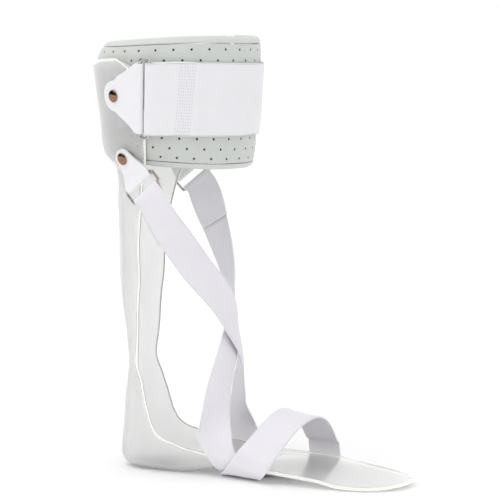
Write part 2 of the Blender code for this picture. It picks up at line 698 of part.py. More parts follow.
def build_calf_hardware(collection, cutters):
    rivet_arc, bar_arc = arc_at(CALF_RIVET_ANGLE), arc_at(CALF_BAR_ANGLE)
    length = bar_arc - rivet_arc
    layer = TAB_THICKNESS / 2 + GAP / 2
    bar_radius = CALF_WIRE + GAP + TAB_THICKNESS / 2
    bar_out = CALF_WIRE + 2 * GAP + STRAP_THICKNESS
    path = folded_path(length + CALF_TAB_END_RADIUS * 0.96, bar_radius, layer, FOLD_SPREAD, 7)
    for side_name, side in SIDES.items():
        grid = []
        for along, out in path:
            half = tab_half_width(length - along, length, CALF_TAB_WIDTH, CALF_TAB_END_RADIUS)
            settled = ease(along / SETTLE_LENGTH)
            place = bar_out + out - (bar_out - GAP - TAB_THICKNESS - GAP / 2) * settled
            grid.append(upright_row(angle_at(side * (bar_arc - along)), place, half, 1 - settled))
        tab = add_sheet(f"calf_tab_{side_name}", grid, TAB_THICKNESS, 0.0, "white_vinyl", collection)
        centre = formed_point(STRAP_MIDDLE, side * CALF_RIVET_ANGLE)
        direction = formed_normal(STRAP_MIDDLE, side * CALF_RIVET_ANGLE)
        add_hole(tab, centre, direction, SHANK_RADIUS + GAP, cutters)
        inner_face = -SHELL_WALL - CURVED_GAP - DISC_THICKNESS - GAP
        add_rivet(f"calf_rivet_{side_name}", centre, direction, inner_face, 3 * GAP + 2 * TAB_THICKNESS,
                  collection)
        loop = []
        for up, across in ring_loop(CALF_RING_HEIGHT, CALF_RING_GAP, STRAP_WIDTH):
            angle = angle_at(side * (bar_arc + CALF_RING_GAP / 2 + across))
            low, _, high = upright_row(angle, bar_out, STRAP_WIDTH / 2, 1.0)
            loop.append(low.lerp(high, up / STRAP_WIDTH + 0.5))
        add_ring(f"calf_ring_{side_name}", loop, CALF_WIRE, collection)
    return bar_out


def build_calf_strap(bar_out, collection):
    """One strip: sewn end, inner ring, round the front of the pad, outer ring and flap."""
    bar_arc = arc_at(CALF_BAR_ANGLE) + CALF_RING_GAP
    front_arc = CUFF_ARCS[-1]
    bar_radius = CALF_WIRE + GAP + STRAP_THICKNESS / 2
    layer = STRAP_THICKNESS / 2 + GAP / 2
    on_pad = -SHELL_WALL + GAP + STRAP_THICKNESS / 2

    def out_from_form(along, upper):
        """Offset of a layer at this distance past the ring's bar."""
        middle = bar_out + (on_pad + layer - bar_out) * ease(along / STRAP_SLOPE)
        spread = layer + (bar_radius - layer) * max(0.0, 1 - along / SETTLE_LENGTH) ** 2
        return middle + (spread if upper else -spread)

    around_bar = []
    for turn in np.radians(np.linspace(165, 15, 7)):
        around_bar.append((-bar_radius * math.sin(turn), bar_out + bar_radius * math.cos(turn)))

    def run(first, last, upper, count):
        return [(along, out_from_form(along, upper)) for along in np.linspace(first, last, count)]

    half_way = front_arc - bar_arc
    settled = STRAP_SEWN_LENGTH + SETTLE_LENGTH
    medial = run(STRAP_SEWN_LENGTH, CALF_WIRE, False, 9) + around_bar
    for along, out in run(CALF_WIRE, settled, True, 12):
        medial.append((along, out - 2 * layer * ease((along - STRAP_SEWN_LENGTH) / SETTLE_LENGTH)))
    medial += [(along, on_pad) for along in np.linspace(settled, half_way, 11)[1:]]
    lateral = [(along, on_pad) for along in np.linspace(half_way, STRAP_FLAP_LENGTH, 8)[1:]]
    lateral += run(STRAP_FLAP_LENGTH, CALF_WIRE, False, 15)[1:] + around_bar
    lateral += run(CALF_WIRE, STRAP_FLAP_LENGTH, True, 15)
    grid = []
    for side, half in ((-1, medial), (1, lateral)):
        for along, out in half:
            angle = angle_at(side * min(bar_arc + along, front_arc))
            grid.append(upright_row(angle, out, STRAP_WIDTH / 2, 1 - ease(along / SETTLE_LENGTH)))
    add_sheet("calf_strap", grid, STRAP_THICKNESS, 0.0, "white_strap", collection)


def instep_frame(side):
    """Place of the instep rivet on one side, with the tab's outward, forward-down and across directions."""
    spot = formed_spot(side * INSTEP_RIVET_ANGLE, -INSTEP_RIVET_DROP)
    centre, outward = formed_point(*spot), formed_normal(*spot)
    down = Vector(INSTEP_TAB_DOWN) * Vector((1.0, side, 1.0))
    down = (down - outward * down.dot(outward)).normalized()
    return centre, outward, down, outward.cross(down)


def ring_frame(side):
    """Middle of the bar that the tab is folded round, with the ring's outward, down and across directions."""
    centre, outward, down, across = instep_frame(side)
    out = INSTEP_TAB_STANDOFF + TAB_THICKNESS + INSTEP_WIRE + GAP
    turn = Matrix.Rotation(math.radians(side * INSTEP_RING_TURN), 3, down)
    return centre + outward * out + down * INSTEP_TAB_LENGTH, turn @ outward, down, turn @ across


def build_instep_hardware(collection, cutters):
    layer = TAB_THICKNESS / 2 + GAP / 2
    bar_radius = INSTEP_WIRE + GAP + TAB_THICKNESS / 2
    reach = INSTEP_TAB_LENGTH + INSTEP_TAB_END_RADIUS * 0.96
    path = folded_path(reach, bar_radius, layer, FOLD_SPREAD, 6)
    for side_name, side in SIDES.items():
        centre, outward, down, _ = instep_frame(side)
        bar, turned_out, _, turned_across = ring_frame(side)
        grid = []
        for along, out in path:
            half = tab_half_width(INSTEP_TAB_LENGTH - along, INSTEP_TAB_LENGTH, INSTEP_TAB_WIDTH,
                                  INSTEP_TAB_END_RADIUS)
            way_out = turned_out.slerp(outward, ease(along / (INSTEP_TAB_LENGTH - HEAD_RADIUS)))
            across = way_out.cross(down)
            middle = bar - down * along + way_out * (out - (bar_radius - layer) * ease(along / SETTLE_LENGTH))
            grid.append([middle + across * (half * share) for share in (-1, 0, 1)])
        tab = add_sheet(f"instep_tab_{side_name}", grid, TAB_THICKNESS, 0.0, "white_vinyl", collection)
        add_hole(tab, centre, outward, SHANK_RADIUS + GAP, cutters)
        add_rivet(f"instep_rivet_{side_name}", centre, outward, -SHELL_WALL - 2 * INSTEP_TAB_STANDOFF,
                  INSTEP_TAB_STANDOFF + 2 * GAP + 2 * TAB_THICKNESS, collection)
        loop = [bar + down * (INSTEP_RING_GAP / 2 + over) + turned_across * along
                for along, over in ring_loop(INSTEP_RING_WIDTH, INSTEP_RING_GAP, ELASTIC_WIDTH)]
        add_ring(f"instep_ring_{side_name}", loop, INSTEP_WIRE, collection)


def shin_run(side):
    """From the ring on this side over the shin to beside the ankle on the other side."""
    bar, _, down, _ = ring_frame(side)
    bar += down * INSTEP_RING_GAP
    points = [bar, bar + down * (4 * INSTEP_WIRE)]
    for row in rows_as_dicts(SHIN_COLUMNS, SHIN_ROWS):
        way = bar.z - CROSSING_HEIGHT if row["rise"] > 0 else CROSSING_HEIGHT
        points.append(Vector((row["along"] * CROSSING_REACH, side * row["side"] * LIMB_HALF_WIDTH,
                              CROSSING_HEIGHT + row["rise"] * way)))
    return points


def plate_outline(reach, side, offset):
    """Outline at this offset round the plate's section, from its midline out round the edge and up.

    It comes with the length along it of each point, counted from the edge, upwards.
    """
    section = section_at(spot_at_reach(reach))
    edge_angle = math.acos(1 - section["edge"])
    corner = (section["half_width"] - section["flat"]) / math.sin(edge_angle)
    points = [Vector((reach, section["aside"], section["z"] - offset))]
    for share in (0.0, 0.4, 0.75, 1.0):
        turn = edge_angle * share
        slope = math.atan2(section["depth"] * math.sin(turn), corner * math.cos(turn))
        face = Vector((reach, section["aside"] + side * (section["flat"] + corner * math.sin(turn)),
                       section["z"] + section["depth"] * (1 - math.cos(turn))))
        points.append(face + Vector((0.0, side * math.sin(slope), -math.cos(slope))) * offset)
    edge_index = len(points) - 1
    for share in (0.5, 1.0):
        turned = slope + (math.pi / 2 - slope) * share
        points.append(face + Vector((0.0, side * math.sin(turned), -math.cos(turned))) * offset)
    points.append(points[-1] + Vector((0.0, 0.0, 2 * HEEL_CUP_HEIGHT)))
    lengths = [0.0]
    for before, after in zip(points, points[1:]):
        lengths.append(lengths[-1] + (after - before).length)
    return points, [length - lengths[edge_index] for length in lengths]


def round_plate(reach, side, run, offset):
    """Point on the plate's outline at this length from its edge."""
    points, lengths = plate_outline(reach, side, offset)
    return Vector([float(np.interp(run, lengths, [point[k] for point in points])) for k in range(3)])


def turn_rows(name, offset, half_reach):
    """Rows of the strap round the plate's edge, from beside the plate to under it."""
    reach_share, heading = PLATE_TURNS[name]
    side = -1 if name.startswith("inner") else 1
    rows = []
    for run in TURN_RUNS:
        reach = reach_share * TOE_REACH - heading * run
        rows.append([round_plate(reach + half_reach * share, side, run, offset) for share in ELASTIC_COLUMNS])
    return rows


def plate_run(first, last, first_offset, last_offset):
    """Rows down round one edge of the plate, the straight way under it and up round the other edge."""
    def slant(heading):
        return ELASTIC_WIDTH / 2 * math.hypot(1.0, heading)

    down = turn_rows(first, first_offset, slant(PLATE_TURNS[first][1]))
    up = turn_rows(last, last_offset, slant(PLATE_TURNS[last][1]))[::-1]
    start, end = down[-1][2], up[0][2]
    half_reach = slant((end.x - start.x) / (end.y - start.y))
    under = []
    for share in (0.25, 0.5, 0.75):
        spot = start.lerp(end, share)
        offset = first_offset + (last_offset - first_offset) * ease(share * 4)
        row = []
        for column in ELASTIC_COLUMNS:
            reach = spot.x + half_reach * column
            row.append(Vector((reach, spot.y, section_at(spot_at_reach(reach))["z"] - offset)))
        under.append(row)
    return down + under + up


def limb_outward(point):
    """Direction away from the middle of the limb."""
    axis = [Vector((x * CROSSING_REACH, 0.0, z * CROSSING_HEIGHT)) for x, z in LIMB_AXIS]
    nearest = None
    for first, last in zip(axis, axis[1:]):
        share = (point - first).dot(last - first) / (last - first).length_squared
        spot = first.lerp(last, min(1.0, max(0.0, share)))
        if nearest is None or (point - spot).length < (point - nearest).length:
            nearest = spot
    return (point - nearest).normalized()


def free_rows(points, ring_side, wrap_vectors, lift=0.0):
    """Rows along a free stretch of strap, square to it, and turned to meet the plate's turns at its ends.

    ring_side is the side of the ring that it starts at, or 0 for a stretch with no ring. Rows come as
    centre, along, outward, across, bow and length so far, so that a layer can be set in from them.
    """
    line = smooth_route(points, 0.0112)
    lengths = [0.0]
    for before, after in zip(line, line[1:]):
        lengths.append(lengths[-1] + (after - before).length)
    rows = []
    for i, point in enumerate(line):
        along = (line[min(i + 1, len(line) - 1)] - line[max(i - 1, 0)]).normalized()
        outward = Vector()
        for other, length in zip(line, lengths):
            outward += limb_outward(other) * max(0.0, 1 - abs(length - lengths[i]) / TWIST_LENGTH)
        outward.normalize()
        if ring_side:
            away = (lengths[i] - STRAIGHT_AT_RING) / TWIST_LENGTH
            outward = ring_frame(ring_side)[1].lerp(outward, ease(away))
            outward.x += RUN_FORWARD * ease((CROSSING_HEIGHT - point.z) / CROSSING_SPREAD)
        outward = (outward - along * outward.dot(along)).normalized()
        across = along.cross(outward) * (ELASTIC_WIDTH / 2)
        for end, vector in wrap_vectors.items():
            from_turn = lengths[i] if end == 0 else lengths[-1] - lengths[i]
            across = vector.lerp(across, ease(from_turn / PLATE_TWIST_LENGTH))
        near = ease(1.6 - abs(point.z - CROSSING_HEIGHT) / CROSSING_SPREAD) if ring_side else 0.0
        bow = outward * (SHIN_BOW * near)
        rows.append((point + outward * (lift * near), along, outward, across, bow, lengths[i]))
    return rows


def strip(rows, offsets):
    return [[centre + outward * out + across * share - bow * share ** 2 for share in ELASTIC_COLUMNS]
            for (centre, _, outward, across, bow, _), out in zip(rows, offsets)]


def ring_fold(rows):
    """The strap's end at a ring, as rows from the sewn end round the bar and along the run."""
    half = ELASTIC_THICKNESS / 2
    layer = half + GAP
    bar_radius = INSTEP_WIRE + GAP + half

    def layer_out(run):
        paired = 1 - ease((run - ELASTIC_SEWN_LENGTH) / SETTLE_LENGTH)
        return layer * paired + (bar_radius - layer) * max(0.0, 1 - run / FOLD_SPREAD) ** 2

    under = [row for row in rows if row[-1] < ELASTIC_SEWN_LENGTH]
    folded = strip(under, [-layer_out(row[-1]) for row in under])[::-1]
    centre, along, outward, across = rows[0][:4]
    for turn in np.radians(np.linspace(150, 30, 5)):
        place = centre - along * (bar_radius * math.sin(turn)) + outward * (bar_radius * math.cos(turn))
        folded.append([place + across * share for share in ELASTIC_COLUMNS])
    return folded + strip(rows, [layer_out(row[-1]) for row in rows])


def build_instep_strap(collection):
    """One strip: inner ring, over the shin, under the plate, over the forefoot and back to the outer ring."""
    half = ELASTIC_THICKNESS / 2
    close = half + EDGE_GAP
    far = close + ELASTIC_THICKNESS + SOLE_CROSSING_GAP
    first_under = plate_run("outer_run", "inner_band", close, far)
    second_under = plate_run("outer_band", "inner_run", close, close)

    def middle(row):
        return row[len(row) // 2]

    def half_row(row):
        return (row[-1] - row[0]) / 2

    first_shin = free_rows(shin_run(-1) + [middle(first_under[0])], -1, {-1: half_row(first_under[0])},
                           lift=ELASTIC_THICKNESS + SHIN_CROSSING_GAP)
    forefoot = [middle(first_under[-1])]
    for row in rows_as_dicts(FOREFOOT_COLUMNS, FOREFOOT_ROWS):
        forefoot.append(Vector((row["along"] * INSTEP_REACH, row["side"] * BALL_HALF_WIDTH,
                                row["height"] * INSTEP_HEIGHT)))
    forefoot.append(middle(second_under[0]))
    band = free_rows(forefoot, 0, {0: half_row(first_under[-1]), -1: half_row(second_under[0])})
    last_shin = free_rows(shin_run(1) + [middle(second_under[-1])], 1, {-1: -half_row(second_under[-1])})
    grid = ring_fold(first_shin)[:-1] + first_under + strip(band, [0.0] * len(band))[1:-1]
    grid += second_under + [row[::-1] for row in ring_fold(last_shin)[:-1]][::-1]
    add_sheet("instep_strap", grid, ELASTIC_THICKNESS, 0.0, "white_elastic", collection)


def main():
    clear_scene()
    parts = bpy.data.collections.new("ankle_foot_orthosis")
    cutters = bpy.data.collections.new("cutters")
    for collection in (parts, cutters):
        bpy.context.scene.collection.children.link(collection)
    build_shell(parts, cutters)
    build_cuff(parts)
    build_discs(parts)
    bar_out = build_calf_hardware(parts, cutters)
    build_calf_strap(bar_out, parts)
    build_instep_hardware(parts, cutters)
    build_instep_strap(parts)


main()
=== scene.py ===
import math

import bpy
import numpy as np
from mathutils import Matrix, Vector


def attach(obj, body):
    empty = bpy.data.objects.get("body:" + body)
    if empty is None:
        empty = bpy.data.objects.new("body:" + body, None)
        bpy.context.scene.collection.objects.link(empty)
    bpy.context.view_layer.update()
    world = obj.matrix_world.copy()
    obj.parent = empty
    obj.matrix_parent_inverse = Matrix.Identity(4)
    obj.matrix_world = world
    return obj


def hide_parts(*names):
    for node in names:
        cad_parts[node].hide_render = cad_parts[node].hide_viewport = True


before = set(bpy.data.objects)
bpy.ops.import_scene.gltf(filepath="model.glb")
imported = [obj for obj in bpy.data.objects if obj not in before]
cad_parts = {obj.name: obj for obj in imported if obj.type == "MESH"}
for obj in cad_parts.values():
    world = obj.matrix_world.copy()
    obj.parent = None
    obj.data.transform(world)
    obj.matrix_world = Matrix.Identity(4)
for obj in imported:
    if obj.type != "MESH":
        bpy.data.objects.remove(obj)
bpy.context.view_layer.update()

print("frame loaded:", len(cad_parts), "nodes")

gap = 0.0003  # kept between touching pieces
curvedGap = 0.0008  # between curved pieces that lie in or on each other
sides = {"medial": -1.0, "lateral": 1.0}


# smooth curves through tables and points
def monotoneTable(spots, values, wanted):
    # a cubic through each column that never swings past its rows
    spots, values = np.asarray(spots, float), np.asarray(values, float)
    steps = np.diff(spots)
    slopes = np.diff(values, axis=0) / steps[:, None]
    tangents = np.zeros_like(values)
    tangents[0], tangents[-1] = slopes[0], slopes[-1]
    for i in range(1, len(spots) - 1):
        before, after = slopes[i - 1], slopes[i]
        sameWay = before * after > 0
        first, second = 2 * steps[i] + steps[i - 1], steps[i] + 2 * steps[i - 1]
        blend = first / np.where(sameWay, before, 1.0) + second / np.where(sameWay, after, 1.0)
        tangents[i] = np.where(sameWay, (first + second) / blend, 0.0)
    return hermite(spots, values, tangents, wanted)


def hermite(spots, values, tangents, wanted):
    wanted = np.clip(np.atleast_1d(wanted), spots[0], spots[-1])
    steps = np.diff(spots)
    i = np.clip(np.searchsorted(spots, wanted, side="right") - 1, 0, len(steps) - 1)
    t = ((wanted - spots[i]) / steps[i])[:, None]
    width = steps[i][:, None]
    return ((1 + 2 * t) * (1 - t) ** 2 * values[i] + t * (1 - t) ** 2 * width * tangents[i]
            + t * t * (3 - 2 * t) * values[i + 1] + t * t * (t - 1) * width * tangents[i + 1])


def throughPoints(lengths, values, wanted):
    # a rounder cubic, for points that lie on a bend
    lengths, values = np.asarray(lengths, float), np.asarray(values, float)
    steps = np.diff(lengths)[:, None]
    slopes = np.diff(values, axis=0) / steps
    tangents = np.zeros_like(values)
    tangents[0], tangents[-1] = slopes[0], slopes[-1]
    tangents[1:-1] = (slopes[1:] * steps[:-1] + slopes[:-1] * steps[1:]) / (steps[:-1] + steps[1:])
    return hermite(lengths, values, tangents, wanted)


def smoothRoute(points, spacing):
    points = [Vector(p) for p in points]
    ends = [points[0] * 2 - points[1], *points, points[-1] * 2 - points[-2]]
    route = []
    for i in range(1, len(ends) - 2):
        a, b, c, d = ends[i - 1:i + 3]
        count = max(1, round((c - b).length / spacing))
        for k in range(count):
            t = k / count
            route.append(0.5 * (2 * b + (c - a) * t + (2 * a - 5 * b + 4 * c - d) * t * t
                                + (3 * b - a - 3 * c + d) * t ** 3))
    return route + [points[-1]]


def ease(share):
    share = np.clip(share, 0.0, 1.0)
    return share * share * (3 - 2 * share)


def unit(vectors):
    return vectors / np.maximum(np.linalg.norm(vectors, axis=-1, keepdims=True), 1e-12)


# the moulded shell's form, which everything else is laid on
shell = {
    "wall": 0.003,
    "height": 0.335,
    "edgeRise": 0.0022,
    "edgeCrest": 0.0096,
    "edgeCrestAngle": 60.0,
    "crownRows": 3,
    "cupSetback": 0.050,
    "cupHalfWidth": 0.0686,
    "cupDepth": 0.071,
    "heelSetback": 0.0297,
    "heelHalfWidth": 0.0325,
    "heelCupHeight": 0.057,
    "toeReach": 0.223,
    "ballHalfWidth": 0.042,
    "ballStart": 0.80,
    "archLift": 0.0064,
    "toeSpring": 0.004,
    "fluteDepth": 0.0016,
    "fluteSpread": 0.013,
    "fluteWidth": 0.0045,
    "fluteTop": 0.243,
    "fluteFoot": 0.130,
    "legRows": (  # height, back, half width, depth, share of the depth at the edge, tilt
        (1.000, 1.000, 0.887, 1.000, 0.530, -1.0),
        (0.985, 0.986, 0.952, 0.993, 0.691, -1.3),
        (0.955, 0.959, 0.973, 0.979, 0.852, -1.9),
        (0.896, 0.906, 0.948, 0.951, 0.874, -3.0),
        (0.803, 0.836, 0.882, 0.873, 0.884, -5.5),
        (0.758, 0.630, 0.729, 0.732, 0.740, -6.0),
        (0.693, 0.596, 0.620, 0.690, 0.640, -4.0),
        (0.588, 0.584, 0.517, 0.592, 0.610, 0.0),
        (0.457, 0.584, 0.459, 0.479, 0.710, 0.0),
        (0.334, 0.490, 0.408, 0.352, 0.660, 0.0),
        (0.275, 0.464, 0.372, 0.303, 0.614, 0.0),
        (0.218, 0.504, 0.413, 0.359, 0.840, 0.0),
        (0.170, 0.544, 0.452, 0.451, 0.866, 0.0),
    ),
    "heelRows": (  # back, height, tilt, half width, flat share, depth, edge
        (0.953, 0.700, 11.7, 0.970, 0.00, 0.615, 0.930),
        (0.987, 0.386, 28.6, 0.985, 0.10, 0.750, 0.930),
        (1.000, 0.219, 34.2, 1.000, 0.15, 0.855, 0.920),
        (0.880, 0.088, 39.7, 1.000, 0.20, 0.894, 0.910),
        (0.620, 0.019, 44.9, 1.000, 0.27, 0.853, 0.900),
        (0.270, 0.000, 50.7, 1.000, 0.35, 0.756, 0.890),
    ),
    "soleRows": (  # along, lift, tilt, inner and outer half width, flat share, depth, edge
        (0.036, 0.00, 64.6, 0.774, 0.774, 0.45, 0.621, 0.870),
        (0.112, 0.00, 79.6, 0.774, 0.774, 0.50, 0.565, 0.790),
        (0.200, 0.48, 90.0, 0.762, 0.762, 0.55, 0.475, 0.660),
        (0.270, 0.92, 90.0, 0.762, 0.786, 0.62, 0.415, 0.520),
        (0.360, 1.00, 90.0, 0.786, 0.840, 0.72, 0.430, 0.330),
        (0.450, 1.00, 90.0, 0.857, 0.905, 0.80, 0.390, 0.190),
        (0.560, 0.90, 90.0, 0.940, 0.976, 0.85, 0.357, 0.130),
        (0.670, 0.62, 90.0, 0.976, 1.010, 0.87, 0.357, 0.090),
        (0.740, 0.16, 90.0, 0.976, 1.000, 0.88, 0.357, 0.075),
        (0.830, 0.00, 90.0, 0.930, 0.857, 0.88, 0.357, 0.070),
        (0.900, 0.22, 90.0, 0.815, 0.590, 0.88, 0.250, 0.060),
        (0.950, 0.55, 90.0, 0.650, 0.290, 0.85, 0.120, 0.060),
        (0.983, 0.82, 90.0, 0.455, 0.045, 0.80, 0.050, 0.060),
        (1.000, 1.00, 90.0, 0.260, -0.120, 0.70, 0.010, 0.060),
    ),
    "rowSpacing": 0.0025,
    "columns": 72,
    "crowding": 0.94,  # how far the columns draw together towards the edges
}


def shellSections():
    rows = []  # x, z, tilt, half width, aside, flat, depth, edge
    for height, back, halfWidth, depth, edge, tilt in shell["legRows"]:
        rows.append((-back * shell["cupSetback"], height * shell["height"], tilt,
                     halfWidth * shell["cupHalfWidth"], 0.0, 0.0, depth * shell["cupDepth"], edge))
    for back, height, tilt, halfWidth, flat, depth, edge in shell["heelRows"]:
        wide = halfWidth * shell["heelHalfWidth"]
        rows.append((-back * shell["heelSetback"], height * shell["heelCupHeight"], tilt, wide, 0.0,
                     flat * wide, depth * shell["heelCupHeight"], edge))
    for along, lift, tilt, inner, outer, flat, depth, edge in shell["soleRows"]:
        wide = (inner + outer) / 2 * shell["ballHalfWidth"]
        rise = shell["toeSpring"] if along > shell["ballStart"] else shell["archLift"]
        rows.append((along * shell["toeReach"], lift * rise, tilt, wide,
                     (outer - inner) / 2 * shell["ballHalfWidth"], flat * wide,
                     depth * shell["heelCupHeight"], edge))
    return np.array(rows)


sections = shellSections()
sectionSpots = np.concatenate(([0.0], np.cumsum(np.hypot(*np.diff(sections[:, :2], axis=0).T))))
legCount = len(shell["legRows"])
soleStart = legCount + len(shell["heelRows"])
tinyStep = 1e-5


def spotAtHeight(heights):
    return np.interp(-np.asarray(heights, float), -sections[:legCount, 1], sectionSpots[:legCount])


def spotAtReach(reach):
    return np.interp(reach, sections[soleStart:, 0], sectionSpots[soleStart:])


def facePoints(spots, angles):
    # points on the outer face, angle in degrees round from the midline
    x, z, tilt, halfWidth, aside, flat, depth, edge = monotoneTable(sectionSpots, sections, spots).T
    corner = (halfWidth - flat) / np.sin(np.arccos(1 - edge))
    turn, tilt = np.radians(np.abs(angles)), np.radians(tilt)
    across = np.sign(angles) * (flat + corner * np.sin(turn))
    deep = depth * (1 - np.cos(turn))
    return np.stack((x + deep * np.cos(tilt), aside + across, z + deep * np.sin(tilt)), axis=-1)


def formedPoints(heights, angles, out=0.0):
    # points outside the leg part's outer face, carried on round the leg and above the cup
    heights, angles, out = np.broadcast_arrays(np.asarray(heights, float),
                                               np.asarray(angles, float), out)
    shapeWas = heights.shape
    heights, angles, out = heights.ravel(), angles.ravel(), out.ravel()
    top = shell["height"] - 2 * tinyStep
    held = np.minimum(heights, top)
    points = facePoints(spotAtHeight(held), angles)
    lean = 0.008
    below = facePoints(spotAtHeight(np.full_like(held, top - lean)), angles)
    points = points + (points - below) * (np.maximum(heights - top, 0.0) / lean)[:, None]
    points = points + formedNormals(held, angles) * out[:, None]
    return points.reshape(shapeWas + (3,))


def formedNormals(heights, angles):
    heights, angles = np.broadcast_arrays(np.asarray(heights, float), np.asarray(angles, float))
    shapeWas = heights.shape
    heights, angles = heights.ravel(), angles.ravel()
    spots = np.maximum(spotAtHeight(heights), tinyStep)
    upward = facePoints(spots - tinyStep, angles) - facePoints(spots + tinyStep, angles)
    around = facePoints(spots, angles + 0.05) - facePoints(spots, angles - 0.05)
    return unit(np.cross(upward, around)).reshape(shapeWas + (3,))


def fluteRise(heights, across):
    along = (heights - shell["fluteFoot"]) / (shell["fluteTop"] - shell["fluteFoot"])
    spread = shell["fluteSpread"] * (0.35 + 0.65 * along)
    near = np.exp(-((np.abs(across) - spread) / shell["fluteWidth"]) ** 2)
    rise = shell["fluteDepth"] * near * ease(along * 3) * ease((1 - along) * 6)
    return np.where((along > 0) & (along < 1), rise, 0.0)


# mesh code shared by the pieces
def meshObject(name, verts, faces, **fields):
    # fields: one value or vector for each vertex, kept as an attribute for the materials
    verts = np.asarray(verts, float)
    mesh = bpy.data.meshes.new(name)
    mesh.from_pydata(verts.tolist(), [], faces)
    mesh.update()
    for label, values in fields.items():
        values = np.asarray(values, float)
        kind = "FLOAT_VECTOR" if values.ndim == 2 else "FLOAT"
        layer = mesh.attributes.new(label, kind, "POINT")
        layer.data.foreach_set("vector" if kind == "FLOAT_VECTOR" else "value", values.ravel())
    if signedVolume(mesh) < 0:
        mesh.flip_normals()
    mesh.shade_smooth()
    piece = bpy.data.objects.new(name, mesh)
    bpy.context.scene.collection.objects.link(piece)
    return piece


def signedVolume(mesh):
    mesh.calc_loop_triangles()
    corners = np.empty(len(mesh.loop_triangles) * 3, dtype=np.int32)
    mesh.loop_triangles.foreach_get("vertices", corners)
    spots = np.empty(len(mesh.vertices) * 3)
    mesh.vertices.foreach_get("co", spots)
    a, b, c = spots.reshape(-1, 3)[corners].reshape(-1, 3, 3).transpose(1, 0, 2)
    return float(np.einsum("ij,ij->i", a, np.cross(b, c)).sum())


def dress(piece, node, slot, *materials):
    for material in materials:
        piece.data.materials.append(material)
    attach(piece, "root")
    if node:
        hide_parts(node)
    return piece


def gridLengths(points):
    # how far each point of a grid lies along its column and along its row, from the middle
    down = np.zeros(points.shape[:2])
    down[1:] = np.cumsum(np.linalg.norm(np.diff(points, axis=0), axis=2), axis=0)
    middle = points.shape[1] // 2
    down[:] = down[:, middle:middle + 1]
    wide = np.zeros(points.shape[:2])
    wide[:, 1:] = np.cumsum(np.linalg.norm(np.diff(points, axis=1), axis=2), axis=1)
    return down, wide - wide[:, -1:] / 2


def roundedSheet(name, middle, half, steps=6):
    # a wall on both sides of a middle surface, with its border turned round in a half circle
    middle = np.array(middle, float)
    rows, columns = middle.shape[:2]
    half = np.broadcast_to(np.asarray(half, float), (rows, columns))
    alongRows, alongColumns = np.gradient(middle, axis=0), np.gradient(middle, axis=1)
    normals = unit(np.cross(alongRows, alongColumns))
    down, wide = gridLengths(middle)
    edge = [(0, j) for j in range(columns)] + [(i, columns - 1) for i in range(1, rows)]
    edge += [(rows - 1, j) for j in range(columns - 2, -1, -1)]
    edge += [(i, 0) for i in range(rows - 2, 0, -1)]
    i, j = np.array(edge).T
    outward = np.zeros((len(edge), 3))
    outward -= unit(alongRows[i, j]) * (i == 0)[:, None]
    outward += unit(alongRows[i, j]) * (i == rows - 1)[:, None]
    outward -= unit(alongColumns[i, j]) * (j == 0)[:, None]
    outward += unit(alongColumns[i, j]) * (j == columns - 1)[:, None]
    outward = unit(outward)
    reach = half[i, j][:, None]
    middle[i, j] -= outward * reach
    number = np.arange(rows * columns).reshape(rows, columns)
    front = (middle + normals * half[..., None]).reshape(-1, 3)
    back = (middle - normals * half[..., None]).reshape(-1, 3)
    verts, loops = [front, back], [number[i, j]]
    for k in range(1, steps):
        turn = math.pi * k / steps
        verts.append(middle[i, j] + outward * reach * math.sin(turn)
                     + normals[i, j] * reach * math.cos(turn))
        loops.append(2 * rows * columns + (k - 1) * len(edge) + np.arange(len(edge)))
    loops.append(number[i, j] + rows * columns)
    a, b = number[:-1, :-1].ravel(), number[:-1, 1:].ravel()
    c, d = number[1:, 1:].ravel(), number[1:, :-1].ravel()
    faces = np.stack((a, b, c, d), axis=1).tolist()
    faces += (np.stack((d, c, b, a), axis=1) + rows * columns).tolist()
    for upper, lower in zip(loops, loops[1:]):
        faces += np.stack((upper, lower, np.roll(lower, -1), np.roll(upper, -1)), axis=1).tolist()
    run = np.stack((down, wide, np.zeros_like(down)), axis=2)
    runs = [run.reshape(-1, 3)] * 2 + [run[i, j]] * (steps - 1)
    # rim marks the rounded border, where the painted highlight falls
    rim = np.zeros((rows, columns))
    rim[i, j] = 0.6
    rims = [rim.ravel()] * 2 + [np.full(len(edge), math.sin(math.pi * k / steps) * 0.4 + 0.6)
                                for k in range(1, steps)]
    return meshObject(name, np.concatenate(verts), faces, run=np.concatenate(runs),
                      rim=np.concatenate(rims))


def loftFaces(count, size, cyclic):
    here = np.arange(count * size).reshape(count, size)
    there = np.roll(here, -1, axis=0)
    if not cyclic:
        here, there = here[:-1], there[:-1]
    return np.stack((here, np.roll(here, -1, axis=1), np.roll(there, -1, axis=1), there), axis=-1)


def roundedLoft(name, rings, inset, run, steps=4):
    # a bar lofted through closed rings, with its ends rounded over
    rings = np.array(rings, float)
    ends = []
    for end, beside in ((0, 1), (-1, -2)):
        way = unit((rings[end] - rings[beside]).mean(axis=0))
        centre = rings[end].mean(axis=0)
        out = rings[end] - centre
        shrink = 1 - inset / np.maximum(np.linalg.norm(out, axis=1), 1e-9)
        shrink = np.clip(shrink, 0.05, 1.0)[:, None]
        base = rings[end] - way * inset
        cap = []
        for k in range(1, steps + 1):
            turn = math.pi / 2 * k / steps
            share = 1 - math.cos(turn)
            cap.append(base + way * inset * math.sin(turn) - out * (1 - shrink) * share)
        rings[end] = base
        ends.append(cap)
    rings = np.concatenate((np.array(ends[0][::-1]), rings, np.array(ends[1])))
    count, size = rings.shape[:2]
    faces = loftFaces(count, size, False).reshape(-1, 4).tolist()
    faces += [list(range(size))[::-1], list(range((count - 1) * size, count * size))]
    run = np.concatenate(([run[0]] * steps, run, [run[-1]] * steps))
    around = np.zeros((count, size))
    around[:, 1:] = np.cumsum(np.linalg.norm(np.diff(rings, axis=1), axis=2), axis=1)
    runs = np.stack((np.repeat(run[:, None], size, axis=1), around, np.zeros((count, size))),
                    axis=2)
    return meshObject(name, rings.reshape(-1, 3), faces, run=runs.reshape(-1, 3))


